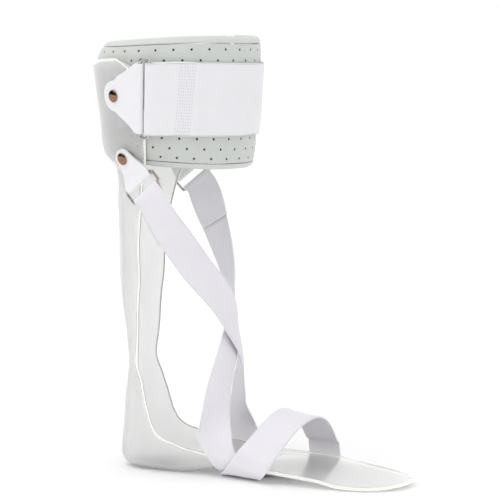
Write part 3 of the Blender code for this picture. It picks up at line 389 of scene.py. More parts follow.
def wireLoop(name, loop, plane, radius, around=14):
    # round wire along a closed flat path
    loop = np.asarray(loop, float)
    way = unit(np.roll(loop, -1, axis=0) - np.roll(loop, 1, axis=0))
    plane = unit(np.asarray(plane, float))
    aside = np.cross(way, plane)
    turns = np.linspace(0, 2 * math.pi, around, endpoint=False)
    rings = (loop[:, None] + radius * (aside[:, None] * np.cos(turns)[None, :, None]
                                       + plane * np.sin(turns)[None, :, None]))
    faces = loftFaces(len(loop), around, True).reshape(-1, 4).tolist()
    lengths = np.cumsum(np.linalg.norm(np.diff(loop, axis=0, prepend=loop[:1]), axis=1))
    run = np.zeros((len(loop), around, 3))
    run[..., 0] = lengths[:, None]
    run[..., 1] = (turns * radius)[None]
    return meshObject(name, rings.reshape(-1, 3), faces, run=run.reshape(-1, 3))


def turnedPiece(name, centre, axis, profile, around=40):
    # a lathe-turned piece: profile pairs are radius and height along the axis
    axis = Vector(axis).normalized()
    aside = axis.orthogonal().normalized()
    across = axis.cross(aside)
    verts = []
    for radius, height in profile:
        for k in range(around):
            turn = 2 * math.pi * k / around
            verts.append(Vector(centre) + axis * height
                         + (aside * math.cos(turn) + across * math.sin(turn)) * max(radius, 1e-5))
    faces = loftFaces(len(profile), around, False).reshape(-1, 4).tolist()
    faces += [list(range(around)),
              list(range((len(profile) - 1) * around, len(profile) * around))[::-1]]
    return meshObject(name, verts, faces)


def stitches(name, spots, ways, outs, length, radius):
    # short lengths of thread, one for each spot, in one mesh
    spots, ways, outs = (np.asarray(x, float) for x in (spots, ways, outs))
    ways = unit(ways)
    outs = unit(outs - ways * (outs * ways).sum(axis=1, keepdims=True))
    asides = np.cross(ways, outs)
    rings = []
    for along, size in ((-0.5, 0.35), (-0.36, 0.85), (0.0, 1.0), (0.36, 0.85), (0.5, 0.35)):
        for k in range(6):
            turn = math.pi * k / 3
            lift = 0.6 * (1 - (2 * along) ** 2)
            rings.append((along * length, size * radius * math.cos(turn),
                          radius * (size * math.sin(turn) + lift)))
    rings = np.array(rings)
    verts = (spots[:, None] + ways[:, None] * rings[None, :, :1]
             + asides[:, None] * rings[None, :, 1:2] + outs[:, None] * rings[None, :, 2:])
    one = loftFaces(5, 6, False).reshape(-1, 4)
    quads = (one[None] + (np.arange(len(spots)) * 30)[:, None, None]).reshape(-1, 4).tolist()
    caps = []
    for k in range(len(spots)):
        caps += [list(range(30 * k, 30 * k + 6))[::-1], list(range(30 * k + 24, 30 * k + 30))]
    return meshObject(name, verts.reshape(-1, 3), quads + caps)


# materials
def addNode(tree, kind, links=None, **settings):
    node = tree.nodes.new(kind)
    for label, value in settings.items():
        setattr(node, label, value)
    for label, value in (links or {}).items():
        if isinstance(value, bpy.types.NodeSocket):
            tree.links.new(value, node.inputs[label])
        else:
            node.inputs[label].default_value = value
    return node


def calc(tree, operation, *values, clamped=False):
    node = addNode(tree, "ShaderNodeMath", dict(enumerate(values)), operation=operation,
                   use_clamp=clamped)
    return node.outputs[0]


def newGroup(name, inputs, outputs):
    group = bpy.data.node_groups.new(name, "ShaderNodeTree")
    kinds = {"value": "NodeSocketFloat", "colour": "NodeSocketColor", "vector": "NodeSocketVector"}
    for label, kind, value in inputs:
        socket = group.interface.new_socket(name=label, in_out="INPUT", socket_type=kinds[kind])
        if value is not None:
            socket.default_value = value
    for label, kind in outputs:
        group.interface.new_socket(name=label, in_out="OUTPUT", socket_type=kinds[kind])
    return group, group.nodes.new("NodeGroupInput").outputs, group.nodes.new("NodeGroupOutput").inputs


def makeWeaveGroup():
    # plain weave in the cloth's own run: x along it, y across it
    group, given, wanted = newGroup(
        "weave", (("Along Pitch", "value", 0.0008), ("Across Pitch", "value", 0.0008)),
        (("Height", "value"), ("Shade", "value")))
    run = addNode(group, "ShaderNodeAttribute", attribute_name="run").outputs["Vector"]
    wobble = addNode(group, "ShaderNodeTexNoise",
                     {"Vector": run, "Scale": 260.0, "Detail": 1.0}).outputs["Fac"]
    split = addNode(group, "ShaderNodeSeparateXYZ", {"Vector": run})
    along = calc(group, "DIVIDE", split.outputs["X"], given["Along Pitch"])
    across = calc(group, "DIVIDE", split.outputs["Y"], given["Across Pitch"])
    along = calc(group, "ADD", along, calc(group, "MULTIPLY", wobble, 0.5))
    waveA = calc(group, "SINE", calc(group, "MULTIPLY", along, 2 * math.pi))
    waveB = calc(group, "SINE", calc(group, "MULTIPLY", across, 2 * math.pi))
    both = calc(group, "MULTIPLY_ADD", calc(group, "MULTIPLY", waveA, waveB), 0.5, 0.5)
    group.links.new(both, wanted["Height"])
    # Shade: broad random tone, plus painted shade in the weave's low threads
    patch = addNode(group, "ShaderNodeTexNoise", {"Vector": run, "Scale": 42.0, "Detail": 4.0,
                                                  "Roughness": 0.6}).outputs["Fac"]
    group.links.new(calc(group, "MULTIPLY_ADD", patch, 0.7, calc(group, "MULTIPLY", both, 0.3)),
                    wanted["Shade"])
    return group


def makeGrainGroup():
    # fine pebble grain with broad, faint unevenness
    group, given, wanted = newGroup("grain",
                                    (("Scale", "value", 900.0), ("Patch Scale", "value", 18.0)),
                                    (("Height", "value"), ("Patch", "value")))
    place = addNode(group, "ShaderNodeTexCoord").outputs["Object"]
    fine = addNode(group, "ShaderNodeTexVoronoi", {"Vector": place, "Scale": given["Scale"]},
                   feature="SMOOTH_F1").outputs["Distance"]
    broad = addNode(group, "ShaderNodeTexNoise", {"Vector": place, "Scale": given["Patch Scale"],
                                                  "Detail": 5.0, "Roughness": 0.55}).outputs["Fac"]
    group.links.new(fine, wanted["Height"])
    group.links.new(broad, wanted["Patch"])
    return group


def makeRimGroup():
    # painted highlight along a piece's border, where it catches the light, broken up by noise
    group, given, wanted = newGroup("rimHighlight", (("Break Up", "value", 0.35),), (("Mask", "value"),))
    rim = addNode(group, "ShaderNodeAttribute", attribute_name="rim").outputs["Fac"]
    place = addNode(group, "ShaderNodeTexCoord").outputs["Object"]
    spots = addNode(group, "ShaderNodeTexNoise",
                    {"Vector": place, "Scale": 140.0, "Detail": 3.0}).outputs["Fac"]
    litRim = calc(group, "SUBTRACT", rim, calc(group, "MULTIPLY", spots, given["Break Up"]),
                clamped=True)
    group.links.new(litRim, wanted["Mask"])
    return group


def makeDustGroup():
    # faint settled dust and handling marks, more of it on faces that look up
    group, given, wanted = newGroup("dust", (("Amount", "value", 0.2),), (("Mask", "value"),))
    place = addNode(group, "ShaderNodeTexCoord").outputs["Object"]
    cloudy = addNode(group, "ShaderNodeTexNoise", {"Vector": place, "Scale": 33.0, "Detail": 6.0,
                                                   "Roughness": 0.7}).outputs["Fac"]
    facing = addNode(group, "ShaderNodeNewGeometry").outputs["Normal"]
    upward = addNode(group, "ShaderNodeSeparateXYZ", {"Vector": facing}).outputs["Z"]
    lying = calc(group, "MULTIPLY_ADD", upward, 0.3, 0.5, clamped=True)
    patchy = addNode(group, "ShaderNodeMapRange",
                     {"Value": cloudy, "From Min": 0.42, "From Max": 0.78}).outputs[0]
    settled = calc(group, "MULTIPLY", calc(group, "MULTIPLY", patchy, lying), given["Amount"])
    group.links.new(settled, wanted["Mask"])
    return group


weaveGroup, grainGroup = makeWeaveGroup(), makeGrainGroup()
rimGroup, dustGroup = makeRimGroup(), makeDustGroup()


def placeGroup(tree, group, **values):
    node = addNode(tree, "ShaderNodeGroup", node_tree=group)
    for label, value in values.items():
        node.inputs[label.replace("_", " ")].default_value = value
    return node.outputs


def mixColours(tree, share, first, second):
    first, second = (colour if isinstance(colour, bpy.types.NodeSocket) else (*colour, 1)
                     for colour in (first, second))
    return addNode(tree, "ShaderNodeMix", {"Factor": share, 6: first, 7: second},
                   data_type="RGBA").outputs[2]


def bumpFrom(tree, height, distance, strength=1.0, normal=None):
    links = {"Height": height, "Distance": distance, "Strength": strength}
    if normal:
        links["Normal"] = normal
    return addNode(tree, "ShaderNodeBump", links).outputs["Normal"]


def startMaterial(name, **plain):
    material = bpy.data.materials.new(name)
    material.use_nodes = True
    tree = material.node_tree
    shader = tree.nodes["Principled BSDF"]
    for label, value in plain.items():
        shader.inputs[label.replace("_", " ")].default_value = value
    return material, tree, shader


finishes = {
    # the plastic's trim colour is a painted highlight along its cut edge, and its edge glow a painted glow there
    "plastic": {"clear": (0.955, 0.96, 0.955), "trimHighlight": (1.0, 0.995, 0.96),
                "dust": (0.80, 0.79, 0.77),
                "paintedEdgeGlow": (0.50, 0.49, 0.45), "through": 0.74, "roughness": 0.20},
    # the padding's near-black colour is painted shade inside the perforations
    "padding": {"light": (0.625, 0.65, 0.62), "shade": (0.56, 0.585, 0.56),
                "dust": (0.50, 0.51, 0.48),
                "pit": (0.02, 0.022, 0.02), "pitches": (0.0011, 0.0009)},
    "binding": {"light": (0.67, 0.70, 0.665), "shade": (0.60, 0.63, 0.60),
                "dust": (0.52, 0.53, 0.50),
                "pitches": (0.0009, 0.0009), "depth": 0.00012, "roughness": 0.85},
    "strap": {"light": (0.84, 0.84, 0.87), "shade": (0.77, 0.77, 0.80), "dust": (0.66, 0.65, 0.64),
              "pitches": (0.0008, 0.0007), "depth": 0.00008, "roughness": 0.80},
    "elastic": {"light": (0.83, 0.81, 0.86), "shade": (0.76, 0.745, 0.79),
                "dust": (0.65, 0.63, 0.63),
                "pitches": (0.0010, 0.0007), "depth": 0.00012, "roughness": 0.85},
    "vinyl": {"light": (0.85, 0.85, 0.88), "shade": (0.79, 0.79, 0.82), "dust": (0.62, 0.61, 0.60),
              # the vinyl's edge colour is a painted highlight for its rounded border
              "edge": (0.94, 0.94, 0.95)},
    "hook": {"light": (0.94, 0.95, 0.96), "shade": (0.76, 0.77, 0.79), "pitches": (0.0016, 0.0013)},
    "ring": {"light": (0.66, 0.63, 0.61), "shade": (0.42, 0.38, 0.36), "roughness": 0.08},
    "rivet": {"light": (0.40, 0.23, 0.15), "shade": (0.20, 0.11, 0.07), "roughness": 0.05},
    "paleThread": {"light": (0.80, 0.82, 0.80), "shade": (0.66, 0.68, 0.66)},
    # the grey of the stitch block's thread is painted shade, standing in for the tiny shadows between white
    # stitches
    "paintedShadeThread": {"light": (0.62, 0.62, 0.65), "shade": (0.50, 0.50, 0.53)},
}


def makeCloth(name, look):
    material, tree, shader = startMaterial(name, Roughness=look["roughness"], Sheen_Weight=0.25,
                                           Sheen_Roughness=0.5)
    alongPitch, acrossPitch = look["pitches"]
    weave = placeGroup(tree, weaveGroup, Along_Pitch=alongPitch, Across_Pitch=acrossPitch)
    dust = placeGroup(tree, dustGroup, Amount=0.35)
    rim = placeGroup(tree, rimGroup, Break_Up=0.3)
    cloth = mixColours(tree, weave["Shade"], look["shade"], look["light"])
    # painted highlight: the rounded border is mixed towards near white
    paler = mixColours(tree, calc(tree, "MULTIPLY", rim["Mask"], 0.35), cloth, (0.93, 0.93, 0.93))
    tree.links.new(mixColours(tree, dust["Mask"], paler, look["dust"]), shader.inputs["Base Color"])
    tree.links.new(bumpFrom(tree, weave["Height"], look["depth"], 0.6), shader.inputs["Normal"])
    return material


def makePlastic(look):
    # milky polypropylene, clearer in the wall than at its cut and polished edge, where a painted highlight and a
    # painted glow are laid
    material, tree, shader = startMaterial("milkyPlastic", Transmission_Weight=look["through"],
                                           IOR=1.49, Emission_Strength=1.0)
    grain = placeGroup(tree, grainGroup, Scale=700.0, Patch_Scale=14.0)
    rim = placeGroup(tree, rimGroup, Break_Up=0.15)
    dust = placeGroup(tree, dustGroup, Amount=0.25)
    # painted highlight: the border is mixed towards the trim colour
    body = mixColours(tree, rim["Mask"], look["clear"], look["trimHighlight"])
    tree.links.new(mixColours(tree, dust["Mask"], body, look["dust"]), shader.inputs["Base Color"])
    # painted glow: emission along the cut edge stands in for light gathered by the wall
    tree.links.new(mixColours(tree, rim["Mask"], (0, 0, 0), look["paintedEdgeGlow"]),
                   shader.inputs["Emission Color"])
    tree.links.new(calc(tree, "MULTIPLY_ADD", grain["Patch"], 0.14, look["roughness"] - 0.07),
                   shader.inputs["Roughness"])
    fine = bumpFrom(tree, grain["Height"], 0.00005, 0.4)
    tree.links.new(bumpFrom(tree, grain["Patch"], 0.0006, 0.25, fine), shader.inputs["Normal"])
    return material


def makePadding(look):
    material, tree, shader = startMaterial("sagePadding", Roughness=0.88, Sheen_Weight=0.3,
                                           Sheen_Roughness=0.5)
    alongPitch, acrossPitch = look["pitches"]
    weave = placeGroup(tree, weaveGroup, Along_Pitch=alongPitch, Across_Pitch=acrossPitch)
    dust = placeGroup(tree, dustGroup, Amount=0.4)
    # painted shade: the perforations' insides are mixed towards near black
    pit = addNode(tree, "ShaderNodeAttribute", attribute_name="pit").outputs["Fac"]
    cloth = mixColours(tree, weave["Shade"], look["shade"], look["light"])
    dusty = mixColours(tree, dust["Mask"], cloth, look["dust"])
    tree.links.new(mixColours(tree, pit, dusty, look["pit"]), shader.inputs["Base Color"])
    tree.links.new(bumpFrom(tree, weave["Height"], 0.00012, 0.6), shader.inputs["Normal"])
    return material


def makeVinyl(look):
    material, tree, shader = startMaterial("whiteVinyl", IOR=1.5)
    grain = placeGroup(tree, grainGroup, Scale=1500.0, Patch_Scale=60.0)
    rim = placeGroup(tree, rimGroup, Break_Up=0.4)
    dust = placeGroup(tree, dustGroup, Amount=0.3)
    skin = mixColours(tree, grain["Patch"], look["shade"], look["light"])
    # painted highlight: the rounded border is mixed towards the paler edge colour
    paler = mixColours(tree, calc(tree, "MULTIPLY", rim["Mask"], 0.5), skin, look["edge"])
    tree.links.new(mixColours(tree, dust["Mask"], paler, look["dust"]), shader.inputs["Base Color"])
    tree.links.new(calc(tree, "MULTIPLY_ADD", grain["Patch"], 0.16, 0.40),
                   shader.inputs["Roughness"])
    tree.links.new(bumpFrom(tree, grain["Height"], 0.00012, 0.5), shader.inputs["Normal"])
    return material


def makeHook(look):
    # short moulded hooks in close rows
    material, tree, shader = startMaterial("whiteHook", Roughness=0.6)
    alongPitch, acrossPitch = look["pitches"]
    weave = placeGroup(tree, weaveGroup, Along_Pitch=alongPitch, Across_Pitch=acrossPitch)
    # painted shade between the hooks: low parts are mixed towards the shade colour
    tree.links.new(mixColours(tree, weave["Height"], look["shade"], look["light"]),
                   shader.inputs["Base Color"])
    tree.links.new(bumpFrom(tree, weave["Height"], 0.0005, 0.8), shader.inputs["Normal"])
    return material


def makeMetal(name, look):
    material, tree, shader = startMaterial(name, Metallic=1.0)
    grain = placeGroup(tree, grainGroup, Scale=2600.0, Patch_Scale=420.0)
    tree.links.new(mixColours(tree, grain["Patch"], look["shade"], look["light"]),
                   shader.inputs["Base Color"])
    tree.links.new(calc(tree, "MULTIPLY_ADD", grain["Patch"], 0.14, look["roughness"]),
                   shader.inputs["Roughness"])
    tree.links.new(bumpFrom(tree, grain["Patch"], 0.00004, 0.3), shader.inputs["Normal"])
    return material


def makeThread(name, look):
    material, tree, shader = startMaterial(name, Roughness=0.7, Sheen_Weight=0.2)
    grain = placeGroup(tree, grainGroup, Scale=3000.0, Patch_Scale=300.0)
    tree.links.new(mixColours(tree, grain["Patch"], look["shade"], look["light"]),
                   shader.inputs["Base Color"])
    tree.links.new(bumpFrom(tree, grain["Height"], 0.00008, 0.6), shader.inputs["Normal"])
    return material


plastic = makePlastic(finishes["plastic"])
padding = makePadding(finishes["padding"])
bindingCloth = makeCloth("sageBinding", finishes["binding"])
strapCloth = makeCloth("whiteStrap", finishes["strap"])
elasticCloth = makeCloth("whiteElastic", finishes["elastic"])
vinyl = makeVinyl(finishes["vinyl"])
hook = makeHook(finishes["hook"])
ringMetal = makeMetal("ringSteel", finishes["ring"])
rivetMetal = makeMetal("rivetBronze", finishes["rivet"])
paleThread = makeThread("paleThread", finishes["paleThread"])
paintedShadeThread = makeThread("paintedShadeThread", finishes["paintedShadeThread"])
print("materials ready")


def buildShell():
    spots = np.arange(0.0, sectionSpots[-1], shell["rowSpacing"])
    spots = np.append(spots, sectionSpots[-1])
    crowded = math.pi / 2 * shell["crowding"]
    shares = np.sin(np.linspace(-1, 1, shell["columns"] + 1) * crowded) / math.sin(crowded)
    x, z, tilt, halfWidth, aside, flat, depth, edge = monotoneTable(sectionSpots, sections,
                                                                    spots).T[:, :, None]
    edgeAngle = np.arccos(1 - edge)
    corner = (halfWidth - flat) / np.sin(edgeAngle)
    arc = edgeAngle * (corner + depth * edge / edgeAngle) / 2
    run = np.abs(shares)[None] * (flat + arc)
    turn = np.maximum(run - flat, 0.0) / arc * edgeAngle
    across = np.sign(shares)[None] * np.where(run <= flat, run, flat + corner * np.sin(turn))
    deep = depth * (1 - np.cos(turn))
    tilt = np.radians(tilt)
    face = np.stack((x + deep * np.cos(tilt), aside + across, z + deep * np.sin(tilt)), axis=-1)
    # the cup's top edge rises to a crest on each side
    crown = spots < sectionSpots[shell["crownRows"]]
    crownFoot = sections[shell["crownRows"], 1]
    raised = ease((z[crown] - crownFoot) / (shell["height"] - crownFoot))
    rise = shell["edgeRise"] + (shell["edgeCrest"] - shell["edgeRise"]) * ease(
        np.degrees(turn[crown]) / shell["edgeCrestAngle"])
    face[crown] = formedPoints(z[crown] + rise * raised,
                               np.sign(shares)[None] * np.degrees(turn[crown]))
    face[..., 0] -= fluteRise(face[..., 2], face[..., 1])
    normals = unit(np.cross(np.gradient(face, axis=0), np.gradient(face, axis=1)))
    inward = normals if (normals[len(spots) // 4, shell["columns"] // 2, 0] > 0) else -normals
    piece = roundedSheet("shellMoulding", face + inward * shell["wall"] / 2, shell["wall"] / 2)
    return dress(piece, "shell", "milky_plastic", plastic)


# padded cuff
cuff = {
    "thickness": 0.0065,
    "drop": 0.1645 * shell["height"],  # its foot below the calf strap's middle line
    "height": 0.1025,
    "backDip": 0.0062,
    "dipAngle": 140.0,
    "opening": 9.0,
    "openingAt": 116.0,
    "bindingHeight": 0.0050,
    "lift": {"most": 0.0022, "over": 0.018, "from": 50.0, "within": 90.0},  # the front stands up
    "flare": {"most": 0.0052, "over": 0.026, "from": 95.0, "within": 55.0},  # and out below the strap
    "leanRows": (  # rise, inset at the back and at the front
        (0.00, 0.42, 0.30),
        (0.07, 0.30, 0.15),
        (0.20, 0.00, 0.00),
        (0.76, 0.00, 0.00),
        (0.86, 0.23, 0.08),
        (0.94, 0.92, 0.20),
        (1.00, 1.77, 0.50),
    ),
    "cellsUp": 36,  # a hole takes one cell, and rows of holes are three cells apart
    "cellLength": 0.00255,
    "holeEvery": 6,
    "holeAngle": -109.5,  # where one hole of the lowest row lies
    "holeRadius": 0.00095,
    "holeDepth": 0.0022,
    "stitchPitch": 0.0032,
    "stitchLength": 0.0021,
    "stitchIn": 0.0012,  # from the binding's seam
    "threadRadius": 0.00028,
    "unevenness": 0.00022,
    # the binding tape: rise from its seam towards the cuff's edge, and depth from the outer face
    "bindingSection": ((0.0, 0.5), (0.35, 0.0), (1.2, -0.22), (2.6, -0.25), (4.2, 0.0), (5.4, 0.75),
                       (6.2, 1.9), (6.5, 3.25), (6.2, 4.6), (5.4, 5.75), (4.2, 6.5), (2.6, 6.75),
                       (1.2, 6.72), (0.35, 6.5), (0.0, 6.0)),  # millimetres
}


def cuffPoints(ups, angles, deep):
    # ups from the strap's middle line, deep measured level from the pad's outer face
    ups, angles, deep = np.broadcast_arrays(np.asarray(ups, float), np.asarray(angles, float), deep)
    shapeWas = ups.shape
    ups, angles, deep = ups.ravel(), angles.ravel(), deep.ravel()
    rise = (ups + cuff["drop"]) / cuff["height"]
    pastStrap = np.maximum(np.abs(ups) - calf["width"] / 2, 0.0)
    lifted, flared = (
        change["most"] * np.minimum(pastStrap * side / change["over"], 1.0)
        * ease((np.abs(angles) - change["from"]) / change["within"])
        for change, side in ((cuff["lift"], ups > 0), (cuff["flare"], ups < 0)))
    ups = ups - rise * cuff["backDip"] * (1 - ease(np.abs(angles) / cuff["dipAngle"])) + lifted
    rows = np.array(cuff["leanRows"])
    _, back, front = monotoneTable(rows[:, 0], rows, rise).T
    forward = (1 - np.cos(np.radians(angles))) / 2
    lean = cuff["thickness"] * (back * (1 - forward) + front * forward)
    discAway = np.hypot(arcAt(angles) - np.sign(angles) * arcAt(calf["rivetAngle"]), ups)
    stack = calf["discThickness"] + rivet["innerHeadHeight"] + curvedGap
    discDent = stack * ease((calf["discRadius"] * 1.5 - discAway) / (calf["discRadius"] * 0.42))
    headAway = np.hypot(arcAt(angles) - np.sign(angles) * arcAt(instep["rivetAngle"]),
                        ups + instep["rivetDrop"])
    headDent = (2 * instep["standoff"] + rivet["innerHeadHeight"]) * ease(3.5 - headAway / rivet["innerHead"])
    inward = shell["wall"] + curvedGap + np.maximum(lean, headDent) + discDent + deep - flared
    heights, angles = formedSpots(angles, ups)
    level = formedNormals(np.minimum(heights, shell["height"]), angles)
    level[:, 2] = 0.0
    points = formedPoints(heights, angles) - unit(level) * inward[:, None]
    return points.reshape(shapeWas + (3,))


def anglesRound(arcs):
    # arcs may run on past the front's midline
    whole = 2 * arcLengths[-1]
    return angleAt(np.where(arcs < -whole / 2, arcs + whole, arcs))


def cuffArcs():
    whole = 2 * arcLengths[-1]
    first = arcAt(cuff["openingAt"] + cuff["opening"] / 2) - whole
    last = arcAt(cuff["openingAt"] - cuff["opening"] / 2)
    arcs = np.linspace(first, last, round((last - first) / cuff["cellLength"]) + 1)
    return arcs, anglesRound(arcs)


def punchHole(verts, faces, pits, corners, radius, depth):
    # a round hollow in the middle of one cell of the pad's face, its inside painted near black as painted shade
    spots = [Vector(verts[k]) for k in corners]
    centre = sum(spots, Vector()) / 4
    normal = (spots[2] - spots[0]).cross(spots[3] - spots[1]).normalized()
    start = len(verts)
    # each ring's share of painted shade: the hollow's walls and floor are painted near black
    for size, down, dark in ((1.0, 0.0, 0.15), (0.9, 0.25, 0.9), (0.75, 1.0, 1.0)):
        for k in range(4):
            sideWay = ((spots[k] + spots[(k + 1) % 4]) / 2 - centre).normalized()
            cornerWay = (spots[k] - centre).normalized()
            for way in (cornerWay, sideWay):
                way = (way - normal * way.dot(normal)).normalized()
                verts.append(tuple(centre + way * radius * size - normal * depth * down))
                pits.append(dark)
    for k in range(4):
        a, b = corners[k], corners[(k + 1) % 4]
        first, second, third = start + 2 * k, start + 2 * k + 1, start + (2 * k + 2) % 8
        faces += [(a, second, first), (a, b, second), (b, third, second)]
    for ring in (0, 8):
        for k in range(8):
            here, beside = start + ring + k, start + ring + (k + 1) % 8
            faces.append((here, beside, beside + 8, here + 8))
    faces.append(tuple(range(start + 16, start + 24)))


def buildCuff():
    arcs, angles = cuffArcs()
    low = -cuff["drop"] + cuff["bindingHeight"] + gap
    high = cuff["height"] - cuff["drop"] - cuff["bindingHeight"] - gap
    up = np.linspace(low, high, cuff["cellsUp"] + 1)
    ups = np.concatenate((up, up[::-1]))
    firstHole = round((float(arcAt(cuff["holeAngle"])) - arcs[0]) / (arcs[1] - arcs[0]) - 0.5)
    count, size, oneFace = len(arcs), 2 * len(up), len(up)
    soft = np.sin(arcs[:, None] * 95 + up[None] * 60) * np.sin(up[None] * 210 + arcs[:, None] * 33)
    soft = cuff["unevenness"] * soft * np.sin(np.linspace(0, math.pi, len(up)))[None]
    deep = np.concatenate((soft, cuff["thickness"] - soft[:, ::-1]), axis=1)
    points = cuffPoints(ups[None], angles[:, None], deep)
    grid = loftFaces(count, size, False)
    verts = points.reshape(-1, 3).tolist()
    pits = [0.0] * len(verts)
    faces, holes = [], []
    for i in range(count - 1):
        for j in range(size):
            row = j if j < oneFace - 1 else (size - 2 - j if oneFace <= j < size - 1 else None)
            holed = False
            if row is not None and row % 3 == 1 and 1 < i < count - 3:
                offset = cuff["holeEvery"] // 2 * (row // 3 % 2)
                holed = (i - firstHole + offset) % cuff["holeEvery"] == 0
            (holes if holed else faces).append(tuple(int(k) for k in grid[i, j]))
    for corners in holes:
        punchHole(verts, faces, pits, corners, cuff["holeRadius"], cuff["holeDepth"])
    faces += [tuple(range(size))[::-1], tuple(range((count - 1) * size, count * size))]
    run = np.zeros((len(verts), 3))
    run[:count * size, 0] = np.repeat(arcs, size)
    run[:count * size, 1] = np.tile(ups, count)
    for k, corners in enumerate(holes):
        run[count * size + 24 * k:count * size + 24 * k + 24] = run[list(corners)].mean(axis=0)
    pad = meshObject("cuffPad", verts, faces, run=run, pit=pits)
    pad.data.set_sharp_from_angle(angle=math.radians(55))
    dress(pad, "cuff_pad", "sage_padding", padding)

    section = np.array(cuff["bindingSection"]) * 0.001
    section[:, 0] *= cuff["bindingHeight"] / section[:, 0].max()
    for end, seam, way in (("top", high + 2 * gap, 1.0), ("bottom", low - 2 * gap, -1.0)):
        rings = cuffPoints(seam + way * section[None, :, 0], angles[:, None], section[None, :, 1])
        binding = roundedLoft(f"cuffBinding_{end}", rings, 0.0012, arcs)
        dress(binding, f"cuff_binding_{end}", "sage_binding", bindingCloth)
        seamArcs = np.arange(arcs[0] + 0.004, arcs[-1] - 0.004, cuff["stitchPitch"])
        seamAngles = anglesRound(seamArcs)
        sewnUp = seam + way * cuff["stitchIn"]
        for face, deep in (("outer", -0.0002), ("inner", cuff["thickness"] + 0.0002)):
            spots = cuffPoints(sewnUp, seamAngles, deep)
            beside = cuffPoints(sewnUp, anglesRound(seamArcs + 0.0005), deep)
            outs = formedNormals(np.full(len(seamAngles), shell["height"] - 0.07 * (way < 0)),
                                 seamAngles)
            sewn = stitches(f"seam_{end}_{face}", spots, beside - spots,
                            outs if deep < 0 else -outs,
                            cuff["stitchLength"], cuff["threadRadius"])
            dress(sewn, None, "sage_binding", paleThread)


# wide calf strap, its tabs, rings, rivets and hook discs
calf = {
    "width": 0.0575,
    "middle": 0.9448 * shell["height"],
    "thickness": 0.0016,
    "sewnLength": 0.036,
    "flapLength": 0.072,
    "slope": 0.026,
    "wire": 0.0013,
    "ringHeight": 0.0625,
    "ringGap": 0.0070,
    "barAngle": 83.0,
    "rivetAngle": 61.0,
    "tabThickness": 0.0012,
    "tabWidth": 0.056,
    "tabEndRadius": 0.0125,
    "discRadius": 0.0260,
    "discThickness": 0.0011,
    "edgeLine": {"in": 0.0026, "depth": 0.00022, "width": 0.0004},
    "columnSpacing": 0.0024,
    "stitchColumns": 7,
    "stitchColumnGap": 0.0019,
    "stitchPitch": 0.0022,
    "stitchStart": 0.0222,
    "stitchSlant": 0.0015,
    "stitchLength": 0.0012,
    "threadRadius": 0.00028,
}
rivet = {"shank": 0.0020, "head": 0.0050, "headHeight": 0.0022, "innerHead": 0.0042,
         "innerHeadHeight": 0.0006}
foldSpread, settleLength = 0.010, 0.012  # how far from a bar a fold stays open, and settles

arcAngles = np.arange(0.0, 181.0, 1.0)
arcPoints = facePoints(np.full(181, spotAtHeight(calf["middle"])), arcAngles)
arcLengths = np.concatenate(([0.0], np.cumsum(np.linalg.norm(np.diff(arcPoints, axis=0), axis=1))))


def angleAt(arcs):
    return np.sign(arcs) * np.interp(np.abs(arcs), arcLengths, arcAngles)


def arcAt(angles):
    return np.sign(angles) * np.interp(np.abs(angles), arcAngles, arcLengths)


def formedSpots(angles, ups):
    # height and angle of spots this far straight up the surface from the calf strap's middle line
    angles, ups = np.broadcast_arrays(np.asarray(angles, float), np.asarray(ups, float))
    here = formedPoints(calf["middle"], angles)
    upward = (formedPoints(calf["middle"] + tinyStep, angles) - here) / tinyStep
    around = unit(formedPoints(calf["middle"], angleAt(arcAt(angles) + tinyStep)) - here)
    shear = (upward * around).sum(axis=-1)
    rate = np.linalg.norm(upward - around * shear[..., None], axis=-1)
    return calf["middle"] + ups / rate, angleAt(arcAt(angles) - ups * shear / rate)


def uprightRows(angles, outs, halves, straights, shares):
    # rows up the formed surface, drawn towards straight lines where they hang on a bar
    angles, outs, halves, straights = (np.asarray(x, float)[:, None]
                                       for x in (angles, outs, halves, straights))
    shares = np.asarray(shares, float)[None]
    curved = formedPoints(*formedSpots(angles, halves * shares), outs)
    low = formedPoints(*formedSpots(angles, -halves), outs)
    high = formedPoints(*formedSpots(angles, halves), outs)
    straight = low + (high - low) * ((shares + 1) / 2)[..., None]
    return curved + (straight - curved) * straights[..., None]


def foldedPath(reach, barRadius, layer, spread, steps):
    # along and out: under side, round the bar, upper side
    upper = []
    for k in range(steps + 1):
        along = reach * (1 - k / steps) ** 1.25
        openShare = max(0.0, 1 - along / spread) ** 2
        upper.append((along, layer + (barRadius - layer) * openShare))
    around = [(-barRadius * math.sin(turn), barRadius * math.cos(turn))
              for turn in np.radians(np.arange(15, 166, 15))]
    return np.array([(x, -y) for x, y in upper] + [(x, -y) for x, y in around] + upper[::-1])


def tabHalfWidths(along, length, width, endRadius):
    flare = endRadius + (width / 2 - endRadius) * np.clip(along / (length * 0.86), 0, 1)
    roundEnd = np.sqrt(np.maximum(endRadius ** 2 - np.minimum(along, 0) ** 2, 0.0))
    return np.where(along < 0, roundEnd, flare)


def ringLoop(length, ringGap, heldWidth, cornerSteps=8):
    radius = (length - heldWidth - gap) / 2
    loop = []
    for turn, along, across in ((0, 1, 1), (90, -1, 1), (180, -1, -1), (270, 1, -1)):
        for k in range(cornerSteps + 1):
            angle = math.radians(turn + 90 * k / cornerSteps)
            loop.append((along * (length / 2 - radius) + radius * math.cos(angle),
                         across * (ringGap / 2 - radius) + radius * math.sin(angle)))
    return loop


def rivetProfile(innerFace, outerFace):
    # flat inner head, shank, flange, and a low dome
    head, high = rivet["head"], rivet["headHeight"]
    profile = [(0.0, innerFace - rivet["innerHeadHeight"]),
               (rivet["innerHead"] * 0.93, innerFace - rivet["innerHeadHeight"]),
               (rivet["innerHead"], innerFace - rivet["innerHeadHeight"] * 0.6), (rivet["innerHead"], innerFace),
               (rivet["shank"], innerFace), (rivet["shank"], outerFace), (head * 0.96, outerFace)]
    for turn in range(0, 91, 9):
        angle = math.radians(turn)
        profile.append((head * math.cos(angle) ** 0.9,
                        outerFace + 0.0002 + (high - 0.0002) * math.sin(angle)))
    return profile


